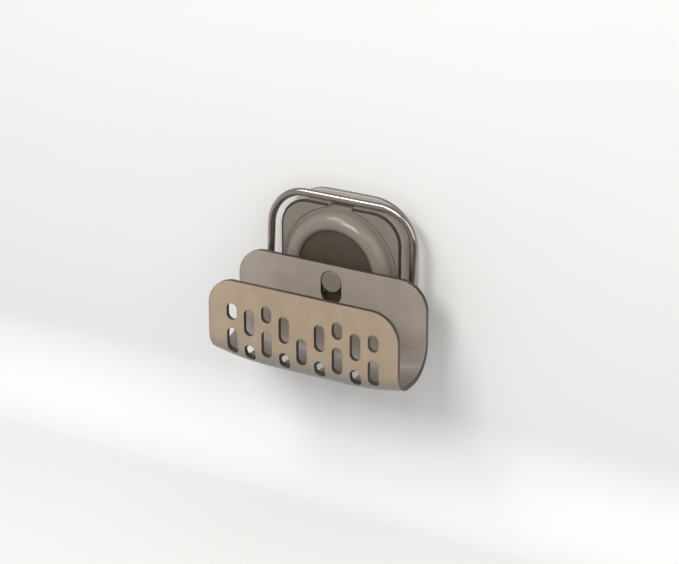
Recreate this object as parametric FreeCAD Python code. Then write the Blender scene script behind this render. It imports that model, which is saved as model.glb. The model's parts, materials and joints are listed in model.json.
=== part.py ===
"""A suction sponge holder: a slotted trough that hangs on a lever suction pad.

The wall is the plane Y = 0 and the holder stands out from it towards -Y.
Depths below are distances from the wall, Z is up, and X = 0 is the plane of symmetry.
The origin is the middle of the pad's face on the wall.
"""
import FreeCAD
import Part
import math
import os
from FreeCAD import Vector

# Suction pad
PAD_HALF_WIDTH = 39.8
PAD_HALF_HEIGHT = 38.8
PAD_CORNER_RADIUS = 26.0
PAD_RIM_THICKNESS = 2.8
PAD_EDGE_ROUND = 0.8
SEAL_WIDTH = 6.0
MEMBRANE_THICKNESS = 2.0
MEMBRANE_CLEARANCE = 1.0
PAD_BOSS_RADIUS = 13.0
RELEASED_CAVITY = 0.5

# Lever: wire, swing and pivot
WIRE_DIAMETER = 4.2
BAIL_SIDE_CLEARANCE = 4.9
BAIL_TOP_CLEARANCE = 0.3
BAIL_CORNER_RADIUS = 20.2
BAIL_BEND_RADIUS = 4.0
BAIL_LEAN_BACK = 3.6
PIVOT_DROP = 6.0
SWING_DEGREES = 30.0
RUNNING_CLEARANCE = 0.05
SLOT_CLEARANCE = 0.4

# Base plate
BASE_RIM_THICKNESS = 2.0
DISH_WALL = 1.8
DISH_SIDE_CLEARANCE = 1.8
DISH_FLOOR = 1.8
DISH_CLEARANCE = 0.2

# Stud, block and cams
STUD_RADIUS = 2.5
STUD_THREAD_RADIUS = 2.0
STUD_HEAD_RADIUS = 11.0
STUD_HEAD_THICKNESS = 1.0
BUSH_WALL = 1.5
BLOCK_HALF_WIDTH = 9.5
BLOCK_WALL = 1.3
BLOCK_EDGE_ROUND = 0.8
BLOCK_BACK_CLEARANCE = 0.3
BORE_DEPTH = 4.4
WIRE_END_CLEARANCE = 0.3
NUT_ACROSS_FLATS = 7.0
NUT_THICKNESS = 2.2
WASHER_MARGIN = 0.1
WASHER_THICKNESS = 0.6
WASHER_CLEARANCE = 0.4
THREAD_CLEARANCE = 0.1
STUD_END_RECESS = 0.1
CAM_HUB_WALL = 0.8
CAM_WIDTH = 5.5
CAM_RELIEF = 0.15
CAM_RUNOUT_DEGREES = 8.0
CAM_FACE_SPAN_COUNT = 6
CAM_SIDE_CLEARANCE = 0.3
CAM_PIN_RADIUS = 0.75
RELEASED_CLEARANCE = 0.2

# Frame and cap
FRAME_HALF_WIDTH = 36.6
FRAME_HALF_HEIGHT = 35.2
FRAME_CORNER_RADIUS = 17.0
FRAME_HEIGHT = 9.4
FRAME_WALL = 1.6
FRAME_LIP_WIDTH = 2.4
FRAME_LIP_THICKNESS = 1.3
FRAME_EDGE_ROUND = 1.0
NOTCH_HALF_WIDTH = 7.0
NOTCH_DEPTH = 2.0
NOTCH_LENGTH = 7.2
NOTCH_WALL = 1.3
NOTCH_CLEARANCE = 0.3
CAP_MARGIN = 1.35
CAP_RIM_THICKNESS = 1.2
CAP_LAND = 2.0
CAP_WALL = 1.7
CAP_INNER_CLEARANCE = 0.3
PARTING_GAP = 0.15
RECESS_DEPTH = 2.4
SCREW_BOSS_RADIUS = 2.9
SCREW_RADIUS = 1.1
SCREW_HEAD_RADIUS = 2.2
SCREW_HEAD_THICKNESS = 1.2
SCREW_BITE = 6.0

# Hanger key on the cap and its keyhole in the trough
KEY_DROP = 5.0
KEY_NECK_RADIUS = 3.5
KEY_HEAD_RADIUS = 6.0
KEY_HEAD_THICKNESS = 2.0
KEY_CLEARANCE = 0.3
LIFT = 6.5
KEY_BOSS_WALL = 4.3
KEY_BOSS_CLEARANCE = 0.4

# Trough
TRAY_LENGTH = 115.0
TRAY_DEPTH = 34.7
TRAY_WALL = 2.5
TRAY_FRONT_TOP = -1.0
TRAY_BACK_TOP = 4.8
TRAY_FLOOR = -51.2
TRAY_TOP_RADIUS = 16.0
TRAY_FRONT_FILLET = 13.0
TRAY_FLOOR_FLAT = 4.7
TRAY_RIM_ROUND = 0.7
TRAY_END_RISE = 4.2
TRAY_FLAT_HALF_LENGTH = 22.0
TRAY_HANG_GAP = 0.6

# Drain slots
SLOT_WIDTH = 6.2
SLOT_PITCH = 10.74
LONG_SLOT = 15.3
SHORT_SLOT = 9.6
FLOOR_SLOT_COLUMNS = (-4, -2, 0, 2, 4)
# Top ends of the slots, as shares of the front wall's height below its top edge
LONG_SLOT_TOP_SHARES = {0: 0.494, 1: 0.288, 2: 0.502, 3: 0.295, 4: 0.550}
SHORT_SLOT_TOP_SHARES = {1: 0.707, 2: 0.213, 3: 0.709, 4: 0.263}

# How far cutting shapes run past what they cut
OVERRUN = 4.0
# How closely an edge has to lie at a depth to count as being there
DEPTH_MATCH_SHARE = 0.01

# Worked out from the sizes above
wire_radius = WIRE_DIAMETER / 2
bail_half_width = FRAME_HALF_WIDTH + BAIL_SIDE_CLEARANCE + wire_radius
bail_rise = PIVOT_DROP + FRAME_HALF_HEIGHT + BAIL_TOP_CLEARANCE + wire_radius
bail_height = math.hypot(bail_rise, BAIL_LEAN_BACK)
frame_smaller_half = min(FRAME_HALF_WIDTH, FRAME_HALF_HEIGHT)
cap_radius = frame_smaller_half - CAP_MARGIN
dish_outer_radius = frame_smaller_half - FRAME_WALL - DISH_SIDE_CLEARANCE
dish_radius = dish_outer_radius - DISH_WALL
membrane_radius = dish_radius - MEMBRANE_CLEARANCE
pad_travel = PIVOT_DROP * math.radians(SWING_DEGREES)
pad_cavity = pad_travel + RELEASED_CAVITY
pad_front = pad_cavity + MEMBRANE_THICKNESS
base_rim_front = PAD_RIM_THICKNESS + BASE_RIM_THICKNESS
dish_back = pad_front + DISH_CLEARANCE
dish_front = dish_back + DISH_FLOOR
cam_hub_radius = wire_radius + CAM_HUB_WALL
pivot_depth = dish_front + cam_hub_radius + RELEASED_CLEARANCE + pad_travel
pivot_z = -PIVOT_DROP
frame_front = base_rim_front + FRAME_HEIGHT
cap_floor_back = pivot_depth + cam_hub_radius + CAP_INNER_CLEARANCE
cap_floor = cap_floor_back + CAP_WALL
cap_crest = cap_floor + RECESS_DEPTH
ring_height = cap_crest - frame_front
crest_radius = cap_radius - CAP_LAND - ring_height
cap_rim_back = frame_front - CAP_RIM_THICKNESS
block_back = dish_front + pad_travel + BLOCK_BACK_CLEARANCE
block_front = pivot_depth + cam_hub_radius
stud_end = block_front - STUD_END_RECESS
nut_seat = stud_end - NUT_THICKNESS - WASHER_THICKNESS
nut_corner_radius = NUT_ACROSS_FLATS / math.sqrt(3)
washer_radius = nut_corner_radius + WASHER_MARGIN
key_z = -KEY_DROP
tray_back = cap_crest + TRAY_HANG_GAP
tray_front = tray_back + TRAY_DEPTH
key_head_back = tray_back + TRAY_WALL - KEY_HEAD_THICKNESS
tray_half_length = TRAY_LENGTH / 2
tray_rear_fillet = TRAY_DEPTH - TRAY_FRONT_FILLET - TRAY_FLOOR_FLAT


# Shapes that several pieces use

def point(x, depth, z):
    """A point at a distance from the wall."""
    return Vector(x, -depth, z)


def line(start, end):
    return Part.LineSegment(start, end).toShape()


def arc(start, middle, end):
    return Part.Arc(start, middle, end).toShape()


def on_circle(centre_x, centre_z, radius, degrees, depth):
    """A point of a circle that faces the front, counted from +X towards +Z."""
    angle = math.radians(degrees)
    return point(centre_x + radius * math.cos(angle), depth, centre_z + radius * math.sin(angle))


def extrude_out(edges, near, far):
    """A prism from an outline drawn at the depth near, out to the depth far."""
    face = Part.Face(Part.Wire(edges))
    return face.extrude(Vector(0, near - far, 0))


def rounded_plate(half_width, half_height, radius, near, far):
    """A plate with round corners, centred on the pad's axis."""
    across = half_width - radius
    up = half_height - radius
    corners = ((across, up, 0), (-across, up, 90), (-across, -up, 180), (across, -up, 270))
    edges = []
    previous_end = None
    for x, z, start in corners:
        first = on_circle(x, z, radius, start, near)
        middle = on_circle(x, z, radius, start + 45, near)
        last = on_circle(x, z, radius, start + 90, near)
        if previous_end is not None:
            edges.append(line(previous_end, first))
        edges.append(arc(first, middle, last))
        previous_end = last
    edges.append(line(previous_end, on_circle(across, up, radius, 0, near)))
    return extrude_out(edges, near, far)


def stadium(x, bottom, top, width, near, far):
    """An upright slot shape with round ends."""
    radius = width / 2
    low = bottom + radius
    high = top - radius
    edges = [
        line(point(x + radius, near, low), point(x + radius, near, high)),
        arc(point(x + radius, near, high), point(x, near, top), point(x - radius, near, high)),
        line(point(x - radius, near, high), point(x - radius, near, low)),
        arc(point(x - radius, near, low), point(x, near, bottom), point(x + radius, near, low)),
    ]
    return extrude_out(edges, near, far)


def out_cylinder(radius, near, far, x=0, z=0):
    """A round bar square to the wall."""
    return Part.makeCylinder(radius, far - near, point(x, near, z), Vector(0, -1, 0))


def cross_cylinder(radius, left, right, depth, z):
    """A round bar along X."""
    return Part.makeCylinder(radius, right - left, point(left, depth, z), Vector(1, 0, 0))


def block(left, right, near, far, bottom, top):
    corner = Vector(left, -far, bottom)
    return Part.makeBox(right - left, far - near, top - bottom, corner)


def turned(edges):
    """A body of revolution about the pad's axis."""
    face = Part.Face(Part.Wire(edges))
    return face.revolve(Vector(0, 0, 0), Vector(0, 1, 0), 360)


def dome_arc(flat_radius, flat_depth, edge_radius, edge_depth):
    """Half section of a shallow dome, from the edge of its flat crown out to its own edge."""
    run = edge_radius - flat_radius
    rise = flat_depth - edge_depth
    radius = (run ** 2 + rise ** 2) / (2 * rise)
    half_angle = math.asin(run / radius) / 2
    middle = point(flat_radius + radius * math.sin(half_angle),
                   flat_depth - radius * (1 - math.cos(half_angle)), 0)
    return arc(point(flat_radius, flat_depth, 0), middle, point(edge_radius, edge_depth, 0))


def edges_at_depth(shape, depth):
    """The edges of a shape that lie in a plane parallel to the wall."""
    found = []
    for edge in shape.Edges:
        box = edge.BoundBox
        ends = (box.YMin, box.YMax)
        if all(math.isclose(end, -depth, rel_tol=DEPTH_MATCH_SHARE) for end in ends):
            found.append(edge)
    return found


# Suction unit

def make_stud():
    """Stud with a disc head that is moulded into the pad and a threaded front end."""
    head_back = pad_cavity + (MEMBRANE_THICKNESS - STUD_HEAD_THICKNESS) / 2
    head_front = head_back + STUD_HEAD_THICKNESS
    head = out_cylinder(STUD_HEAD_RADIUS, head_back, head_front)
    shank = out_cylinder(STUD_RADIUS, head_front, block_back)
    thread = out_cylinder(STUD_THREAD_RADIUS, block_back, stud_end)
    return head.fuse([shank, thread]).removeSplitter()


def make_pad(stud):
    """Soft pad, drawn as it is when locked: a flat seal round a hollow middle."""
    rim = rounded_plate(PAD_HALF_WIDTH, PAD_HALF_HEIGHT, PAD_CORNER_RADIUS, 0, PAD_RIM_THICKNESS)
    rim = rim.makeFillet(PAD_EDGE_ROUND, edges_at_depth(rim, PAD_RIM_THICKNESS))
    axis_back = point(0, 0, 0)
    membrane = turned([
        line(point(0, pad_front, 0), point(PAD_BOSS_RADIUS, pad_front, 0)),
        dome_arc(PAD_BOSS_RADIUS, pad_front, membrane_radius, PAD_RIM_THICKNESS),
        line(point(membrane_radius, PAD_RIM_THICKNESS, 0), point(membrane_radius, 0, 0)),
        line(point(membrane_radius, 0, 0), axis_back),
        line(axis_back, point(0, pad_front, 0)),
    ])
    hollow_radius = PAD_HALF_HEIGHT - SEAL_WIDTH
    hollow = turned([
        line(point(0, pad_cavity, 0), point(PAD_BOSS_RADIUS, pad_cavity, 0)),
        dome_arc(PAD_BOSS_RADIUS, pad_cavity, hollow_radius, 0),
        line(point(hollow_radius, 0, 0), axis_back),
        line(axis_back, point(0, pad_cavity, 0)),
    ])
    return rim.fuse(membrane).removeSplitter().cut(hollow).cut(stud)


def screw_places():
    """Where the screws stand: on the diagonals, under the middle of the cap's ring."""
    circle = crest_radius + (ring_height - CAP_WALL) / 2
    across = circle / math.sqrt(2)
    return [(x * across, z * across) for x in (-1, 1) for z in (-1, 1)]


def make_base_plate():
    """Plate with a round dish that stiffens it, guides the stud and takes the push of the cams."""
    rim = rounded_plate(FRAME_HALF_WIDTH, FRAME_HALF_HEIGHT, FRAME_CORNER_RADIUS,
                        PAD_RIM_THICKNESS, base_rim_front)
    dish = out_cylinder(dish_outer_radius, PAD_RIM_THICKNESS, dish_front)
    hollow = out_cylinder(dish_radius, PAD_RIM_THICKNESS, dish_back)
    bush_hole = out_cylinder(STUD_RADIUS + BUSH_WALL, dish_back, dish_front)
    plate = rim.fuse(dish).removeSplitter().cut([hollow, bush_hole])
    for x, z in screw_places():
        plate = plate.cut(out_cylinder(SCREW_RADIUS + THREAD_CLEARANCE, dish_back, dish_front, x, z))
    return plate


def make_stud_bush():
    ring = out_cylinder(STUD_RADIUS + BUSH_WALL, dish_back, dish_front)
    return ring.cut(out_cylinder(STUD_RADIUS + RUNNING_CLEARANCE, dish_back, dish_front))


def make_screws():
    screws = []
    for x, z in screw_places():
        head = out_cylinder(SCREW_HEAD_RADIUS, dish_back - SCREW_HEAD_THICKNESS, dish_back, x, z)
        shank = out_cylinder(SCREW_RADIUS, dish_back, dish_front + SCREW_BITE, x, z)
        screws.append(head.fuse(shank).removeSplitter())
    return Part.makeCompound(screws)


def wire_notch(near, far, inner, outer):
    """Room for the ends of the wire on both sides, over the whole travel of the pivot."""
    half_width = wire_radius + SLOT_CLEARANCE
    cuts = []
    for left, right in ((inner, outer), (-outer, -inner)):
        cuts.append(block(left, right, near, far, pivot_z - half_width, pivot_z + half_width))
    return cuts


def make_frame():
    """Squarish frame round the cap, with a rebate for the cap's edge and a finger notch under the wire."""
    shell = rounded_plate(FRAME_HALF_WIDTH, FRAME_HALF_HEIGHT, FRAME_CORNER_RADIUS,
                          base_rim_front, frame_front)
    shell = shell.makeFillet(FRAME_EDGE_ROUND, edges_at_depth(shell, frame_front))
    lip_back = cap_rim_back - FRAME_LIP_THICKNESS
    inside = rounded_plate(FRAME_HALF_WIDTH - FRAME_WALL, FRAME_HALF_HEIGHT - FRAME_WALL,
                           FRAME_CORNER_RADIUS - FRAME_WALL, base_rim_front, lip_back)
    rebate = out_cylinder(cap_radius + PARTING_GAP, cap_rim_back, frame_front)
    opening = out_cylinder(cap_radius - FRAME_LIP_WIDTH, lip_back, cap_rim_back)
    notch_back = frame_front - NOTCH_LENGTH
    notch = block(-NOTCH_HALF_WIDTH, NOTCH_HALF_WIDTH, notch_back, frame_front + OVERRUN,
                  FRAME_HALF_HEIGHT - NOTCH_DEPTH, FRAME_HALF_HEIGHT + OVERRUN)
    notch_side = NOTCH_HALF_WIDTH + NOTCH_WALL
    inside = inside.cut(block(-notch_side, notch_side, notch_back - NOTCH_WALL, frame_front,
                              dish_outer_radius + NOTCH_CLEARANCE, FRAME_HALF_HEIGHT))
    wire_back = pivot_depth - pad_travel - wire_radius - SLOT_CLEARANCE
    wire_cuts = wire_notch(wire_back, frame_front + OVERRUN,
                           cap_radius - FRAME_LIP_WIDTH - OVERRUN, FRAME_HALF_WIDTH + OVERRUN)
    return shell.cut([inside, rebate, opening, notch] + wire_cuts)


def cap_section(crest, floor):
    """Upper line of the ringed cap's section, from the axis out to the foot of the ring."""
    floor_edge = crest_radius - (crest - cap_floor)
    axis = point(0, floor, 0)
    floor_corner = point(floor_edge, floor, 0)
    floor_rise = point(floor_edge, cap_floor, 0)
    top = point(crest_radius, crest, 0)
    inner_round = crest - cap_floor
    outer_round = crest - frame_front
    half = math.sqrt(0.5)
    inner_middle = point(crest_radius - inner_round * half, cap_floor + inner_round * half, 0)
    outer_middle = point(crest_radius + outer_round * half, frame_front + outer_round * half, 0)
    foot = point(crest_radius + outer_round, frame_front, 0)
    edges = [line(axis, floor_corner)]
    if floor < cap_floor:
        edges.append(line(floor_corner, floor_rise))
    edges.append(arc(floor_rise, inner_middle, top))
    edges.append(arc(top, outer_middle, foot))
    return edges


def make_cap():
    """Round cap: a hollow ring round a shallow recess, with the hanger key in its middle."""
    foot = point(crest_radius + ring_height, frame_front, 0)
    rim_edge = point(cap_radius, frame_front, 0)
    rim_low = point(cap_radius, cap_rim_back, 0)
    axis_low = point(0, cap_rim_back, 0)
    outside = turned(cap_section(cap_crest, cap_floor) + [
        line(foot, rim_edge),
        line(rim_edge, rim_low),
        line(rim_low, axis_low),
        line(axis_low, point(0, cap_floor, 0)),
    ])
    inner_foot = point(crest_radius + ring_height - CAP_WALL, frame_front, 0)
    inner_low = point(crest_radius + ring_height - CAP_WALL, cap_rim_back, 0)
    inside = turned(cap_section(cap_crest - CAP_WALL, cap_floor_back) + [
        line(inner_foot, inner_low),
        line(inner_low, axis_low),
        line(axis_low, point(0, cap_floor_back, 0)),
    ])
    cap = outside.cut(inside)
    below_rim = out_cylinder(cap_radius, dish_front, cap_rim_back)
    room = outside.fuse(below_rim)
    for x, z in screw_places():
        boss = out_cylinder(SCREW_BOSS_RADIUS, dish_front, cap_crest, x, z)
        hole = out_cylinder(SCREW_RADIUS, dish_front, dish_front + SCREW_BITE, x, z)
        cap = cap.fuse(boss.common(room)).cut(hole)
    wire_front = pivot_depth + wire_radius + SLOT_CLEARANCE
    cap = cap.cut(wire_notch(dish_front, wire_front, crest_radius - RECESS_DEPTH, cap_radius + OVERRUN))
    return cap.fuse(make_key()).removeSplitter()


def make_key():
    """Round key with a wider head, moulded on the recess of the cap."""
    neck = out_cylinder(KEY_NECK_RADIUS, cap_floor - CAP_WALL / 2, key_head_back, 0, key_z)
    head = out_cylinder(KEY_HEAD_RADIUS, key_head_back, key_head_back + KEY_HEAD_THICKNESS, 0, key_z)
    return neck.fuse(head).removeSplitter()


# Lever

def make_bail():
    """Wire bent to an upside-down U whose ends turn in to the pull block."""
    tip = BLOCK_HALF_WIDTH - BORE_DEPTH + WIRE_END_CLEARANCE
    lean = math.asin(BAIL_LEAN_BACK / bail_height)

    def place(x, height):
        return point(x, pivot_depth - height * math.sin(lean), pivot_z + height * math.cos(lean))

    half = math.sqrt(0.5)
    side = bail_half_width
    bend = BAIL_BEND_RADIUS
    corner = BAIL_CORNER_RADIUS
    top = bail_height
    right = [
        ("line", (tip, 0), (side - bend, 0)),
        ("arc", (side - bend, 0), (side - bend + bend * half, bend - bend * half), (side, bend)),
        ("line", (side, bend), (side, top - corner)),
        ("arc", (side, top - corner), (side - corner + corner * half, top - corner + corner * half),
         (side - corner, top)),
    ]
    edges = []
    for kind, *places in right:
        points = [place(x, height) for x, height in places]
        edges.append(line(*points) if kind == "line" else arc(*points))
    edges.append(line(place(side - corner, top), place(corner - side, top)))
    for kind, *places in reversed(right):
        points = [place(-x, height) for x, height in reversed(places)]
        edges.append(line(*points) if kind == "line" else arc(*points))
    path = Part.Wire(edges)
    section = Part.Wire([Part.Circle(place(tip, 0), Vector(1, 0, 0), wire_radius).toShape()])
    return path.makePipeShell([section], True, False)


def cam_contact(degrees):
    """A point of the cam's working face, relative to the pivot as (towards the wall, up).

    The face is an involute of a circle of the pivot's drop below the stud, so it always bears on the
    base plate level with the stud and draws the stud out evenly as the lever turns.
    """
    angle = math.radians(degrees)
    reach = pivot_depth - dish_front - CAM_RELIEF - PIVOT_DROP * angle
    toward = reach * math.cos(angle) + PIVOT_DROP * math.sin(angle)
    up = PIVOT_DROP * math.cos(angle) - reach * math.sin(angle)
    return toward, up


def make_cam(side):
    """Cam on one end of the wire: a round hub with a lobe that bears on the base plate."""
    near = BLOCK_HALF_WIDTH + CAM_SIDE_CLEARANCE
    left = near if side > 0 else -near - CAM_WIDTH

    def place(toward, up):
        return point(left, pivot_depth - toward, pivot_z + up)

    def on_hub(degrees):
        angle = math.radians(degrees)
        return place(cam_hub_radius * math.cos(angle), cam_hub_radius * math.sin(angle))

    first = -CAM_RUNOUT_DEGREES
    last = SWING_DEGREES + CAM_RUNOUT_DEGREES
    face_points = []
    for span in range(CAM_FACE_SPAN_COUNT + 1):
        degrees = first + (last - first) * span / CAM_FACE_SPAN_COUNT
        face_points.append(place(*cam_contact(degrees)))
    working_face = Part.BSplineCurve()
    working_face.interpolate(face_points)
    lobe = Part.Face(Part.Wire([
        working_face.toShape(),
        line(face_points[-1], on_hub(-60)),
        line(on_hub(-60), on_hub(120)),
        line(on_hub(120), face_points[0]),
    ])).extrude(Vector(CAM_WIDTH, 0, 0))
    hub = cross_cylinder(cam_hub_radius, left, left + CAM_WIDTH, pivot_depth, pivot_z)
    return hub.fuse(lobe).removeSplitter()


def make_cam_pin(side):
    """Cross pin through the hub of the cam and the wire, square to the lobe."""
    middle = side * (BLOCK_HALF_WIDTH + CAM_SIDE_CLEARANCE + CAM_WIDTH / 2)
    half_length = math.sqrt(cam_hub_radius ** 2 - CAM_PIN_RADIUS ** 2)
    across = Vector(0, -math.sin(math.radians(45)), -math.cos(math.radians(45)))
    start = point(middle, pivot_depth, pivot_z) - across * half_length
    return Part.makeCylinder(CAM_PIN_RADIUS, 2 * half_length, start, across)


def make_pull_block():
    """Block on the end of the stud, with a bearing for each end of the wire."""
    bottom = pivot_z - wire_radius - BLOCK_WALL
    top = washer_radius + WASHER_CLEARANCE + BLOCK_WALL
    body = block(-BLOCK_HALF_WIDTH, BLOCK_HALF_WIDTH, block_back, block_front, bottom, top)
    upright = [edge for edge in body.Edges if edge.BoundBox.YLength > BLOCK_WALL]
    body = body.makeFillet(BLOCK_EDGE_ROUND, upright)
    bore = wire_radius + RUNNING_CLEARANCE
    inner = BLOCK_HALF_WIDTH - BORE_DEPTH
    cuts = [
        cross_cylinder(bore, inner, BLOCK_HALF_WIDTH, pivot_depth, pivot_z),
        cross_cylinder(bore, -BLOCK_HALF_WIDTH, -inner, pivot_depth, pivot_z),
        out_cylinder(STUD_THREAD_RADIUS + THREAD_CLEARANCE, block_back, block_front),
        out_cylinder(washer_radius + WASHER_CLEARANCE, nut_seat, block_front),
    ]
    return body.cut(cuts)


def make_washer():
    ring = out_cylinder(washer_radius, nut_seat, nut_seat + WASHER_THICKNESS)
    return ring.cut(out_cylinder(STUD_THREAD_RADIUS, nut_seat, nut_seat + WASHER_THICKNESS))


def make_nut():
    near = nut_seat + WASHER_THICKNESS
    corners = [on_circle(0, 0, nut_corner_radius, 60 * turn, near) for turn in range(6)]
    edges = [line(start, end) for start, end in zip(corners, corners[1:] + corners[:1])]
    nut = extrude_out(edges, near, near + NUT_THICKNESS)
    return nut.cut(out_cylinder(STUD_THREAD_RADIUS, near, near + NUT_THICKNESS))


# Trough

def trough_outline(near, half_length, floor, arc_radius):
    """Front view of a trough: a flat middle whose floor curves up to both ends."""
    run = half_length - TRAY_FLAT_HALF_LENGTH
    rise = arc_radius - math.sqrt(arc_radius ** 2 - run ** 2)
    middle_run = run / 2
    middle_rise = arc_radius - math.sqrt(arc_radius ** 2 - middle_run ** 2)
    top = TRAY_BACK_TOP + OVERRUN
    flat = TRAY_FLAT_HALF_LENGTH
    return [
        line(point(-half_length, near, top), point(-half_length, near, floor + rise)),
        arc(point(-half_length, near, floor + rise), point(-flat - middle_run, near, floor + middle_rise),
            point(-flat, near, floor)),
        line(point(-flat, near, floor), point(flat, near, floor)),
        arc(point(flat, near, floor), point(flat + middle_run, near, floor + middle_rise),
            point(half_length, near, floor + rise)),
        line(point(half_length, near, floor + rise), point(half_length, near, top)),
        line(point(half_length, near, top), point(-half_length, near, top)),
    ]


def trough_solid(near, far, half_length, floor, arc_radius, front_fillet, rear_fillet):
    """A trough's solid envelope, with its long lower edges rounded."""
    solid = extrude_out(trough_outline(near, half_length, floor, arc_radius), near, far)
    middle = TRAY_FLOOR / 2
    front_edges = [edge for edge in edges_at_depth(solid, far) if edge.BoundBox.ZMax < middle]
    solid = solid.makeFillet(front_fillet, front_edges)
    rear_edges = [edge for edge in edges_at_depth(solid, near) if edge.BoundBox.ZMax < middle]
    return solid.makeFillet(rear_fillet, rear_edges)


def wall_outline(top, near, far):
    """What is kept of an upright wall: its top corners are rounded."""
    bottom = TRAY_FLOOR - OVERRUN
    high = top - TRAY_TOP_RADIUS
    across = tray_half_length - TRAY_TOP_RADIUS
    left_corner = [on_circle(-across, high, TRAY_TOP_RADIUS, turn, near) for turn in (180, 135, 90)]
    right_corner = [on_circle(across, high, TRAY_TOP_RADIUS, turn, near) for turn in (90, 45, 0)]
    low_left = point(-tray_half_length, near, bottom)
    low_right = point(tray_half_length, near, bottom)
    return extrude_out([
        line(low_left, left_corner[0]),
        arc(*left_corner),
        line(left_corner[-1], right_corner[0]),
        arc(*right_corner),
        line(right_corner[-1], low_right),
        line(low_right, low_left),
    ], near, far)


def front_slots():
    """Two slots in each column but the middle one, long and short by turns."""
    height = TRAY_FRONT_TOP - TRAY_FLOOR
    near = tray_front - TRAY_FRONT_FILLET / 2
    far = tray_front + OVERRUN
    cuts = []
    for shares, length in ((LONG_SLOT_TOP_SHARES, LONG_SLOT), (SHORT_SLOT_TOP_SHARES, SHORT_SLOT)):
        for column, share in shares.items():
            top = TRAY_FRONT_TOP - share * height
            for x in sorted({column * SLOT_PITCH, -column * SLOT_PITCH}):
                cuts.append(stadium(x, top - length, top, SLOT_WIDTH, near, far))
    return cuts


def floor_slots():
    """Drain slots across the floor, in line with every other column."""
    middle = tray_back + TRAY_DEPTH / 2
    radius = SLOT_WIDTH / 2
    straight = LONG_SLOT / 2 - radius
    bottom = TRAY_FLOOR - OVERRUN
    height = OVERRUN + TRAY_WALL + TRAY_END_RISE + OVERRUN
    cuts = []
    for column in FLOOR_SLOT_COLUMNS:
        x = column * SLOT_PITCH
        body = Part.makeBox(SLOT_WIDTH, 2 * straight, height,
                            Vector(x - radius, -middle - straight, bottom))
        ends = [Part.makeCylinder(radius, height, Vector(x, -middle + way * straight, bottom))
                for way in (-1, 1)]
        cuts.append(body.fuse(ends).removeSplitter())
    return cuts


def rim_edges(tray, outline):
    """The long edges of the rim, where the walls were cut to their outline."""
    found = {}
    for face in tray.Faces:
        low_u, high_u, low_v, high_v = face.ParameterRange
        middle = Part.Vertex(face.valueAt((low_u + high_u) / 2, (low_v + high_v) / 2))
        if outline.Shells[0].distToShape(middle)[0] < TRAY_RIM_ROUND / 2:
            for edge in face.Edges:
                found.setdefault(edge.hashCode(), []).append(edge)
    return [edges[0] for edges in found.values() if len(edges) == 1]


def make_tray():
    """Trough with a slotted front, a floor that curves up to its open ends, and a keyhole behind."""
    run = tray_half_length - TRAY_FLAT_HALF_LENGTH
    arc_radius = (run ** 2 + TRAY_END_RISE ** 2) / (2 * TRAY_END_RISE)
    outside = trough_solid(tray_back, tray_front, tray_half_length, TRAY_FLOOR, arc_radius,
                           TRAY_FRONT_FILLET, tray_rear_fillet)
    inside = trough_solid(tray_back + TRAY_WALL, tray_front - TRAY_WALL, tray_half_length + OVERRUN,
                          TRAY_FLOOR + TRAY_WALL, arc_radius - TRAY_WALL,
                          TRAY_FRONT_FILLET - TRAY_WALL, tray_rear_fillet - TRAY_WALL)
    middle = tray_back + TRAY_DEPTH / 2
    front = wall_outline(TRAY_FRONT_TOP, middle, tray_front + OVERRUN)
    back = wall_outline(TRAY_BACK_TOP, tray_back - OVERRUN, middle)
    outline = front.fuse(back).removeSplitter()
    tray = outside.cut(inside).common(outline)
    tray = tray.makeFillet(TRAY_RIM_ROUND, rim_edges(tray, outline))
    boss_radius = KEY_NECK_RADIUS + KEY_BOSS_WALL
    boss = stadium(0, key_z - LIFT / 2 - boss_radius, key_z + boss_radius, 2 * boss_radius,
                   cap_floor + KEY_BOSS_CLEARANCE, tray_back + TRAY_WALL / 2)
    tray = tray.fuse(boss).removeSplitter()
    return tray.cut(keyhole() + front_slots() + floor_slots())


def keyhole():
    """Narrow slot that hangs on the key's neck, a pocket for its head, and the hole it enters by."""
    near = cap_floor
    far = tray_back + TRAY_WALL + OVERRUN
    neck = KEY_NECK_RADIUS + KEY_CLEARANCE
    head = KEY_HEAD_RADIUS + KEY_CLEARANCE
    entry_z = key_z - LIFT
    neck_slot = stadium(0, entry_z - neck, key_z + neck, 2 * neck, near, far)
    head_pocket = stadium(0, entry_z - head, key_z + head, 2 * head, key_head_back - KEY_CLEARANCE, far)
    entry = out_cylinder(head, near, far, 0, entry_z)
    return [neck_slot, head_pocket, entry]


def main():
    os.makedirs("parts", exist_ok=True)
    stud = make_stud()
    pins = {side: make_cam_pin(side) for side in (-1, 1)}
    bail = make_bail()
    cams = {side: make_cam(side).cut([bail, pins[side]]) for side in (-1, 1)}
    pieces = {
        "suction_cup": make_pad(stud),
        "cup_stud": stud,
        "base_plate": make_base_plate(),
        "stud_bush": make_stud_bush(),
        "cap_screws": make_screws(),
        "cover_frame": make_frame(),
        "dome_cap": make_cap(),
        "pull_block": make_pull_block(),
        "stud_washer": make_washer(),
        "stud_nut": make_nut(),
        "bail": bail.cut(list(pins.values())),
        "cam_left": cams[-1],
        "cam_right": cams[1],
        "cam_pin_left": pins[-1],
        "cam_pin_right": pins[1],
        "tray": make_tray(),
    }
    for name, shape in pieces.items():
        box = shape.BoundBox
        print(f"{name}: {len(shape.Solids)} solid(s), valid {shape.isValid()}, {shape.Volume:.0f} mm3, "
              f"x {box.XMin:.1f}..{box.XMax:.1f} y {box.YMin:.1f}..{box.YMax:.1f} "
              f"z {box.ZMin:.1f}..{box.ZMax:.1f}")
        shape.exportStep(f"parts/{name}.step")


main()
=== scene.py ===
# %% [markdown]
# # A sponge holder that clings to a wall
# The real object is a smoky plastic trough that hangs on a round suction unit, and a lever of bent wire locks
# the unit to the wall. The measured solids are exact but hard-edged, so this lesson models again the pieces
# that show, with the softened edges that moulding leaves, and then gives every surface its own finish.

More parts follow.
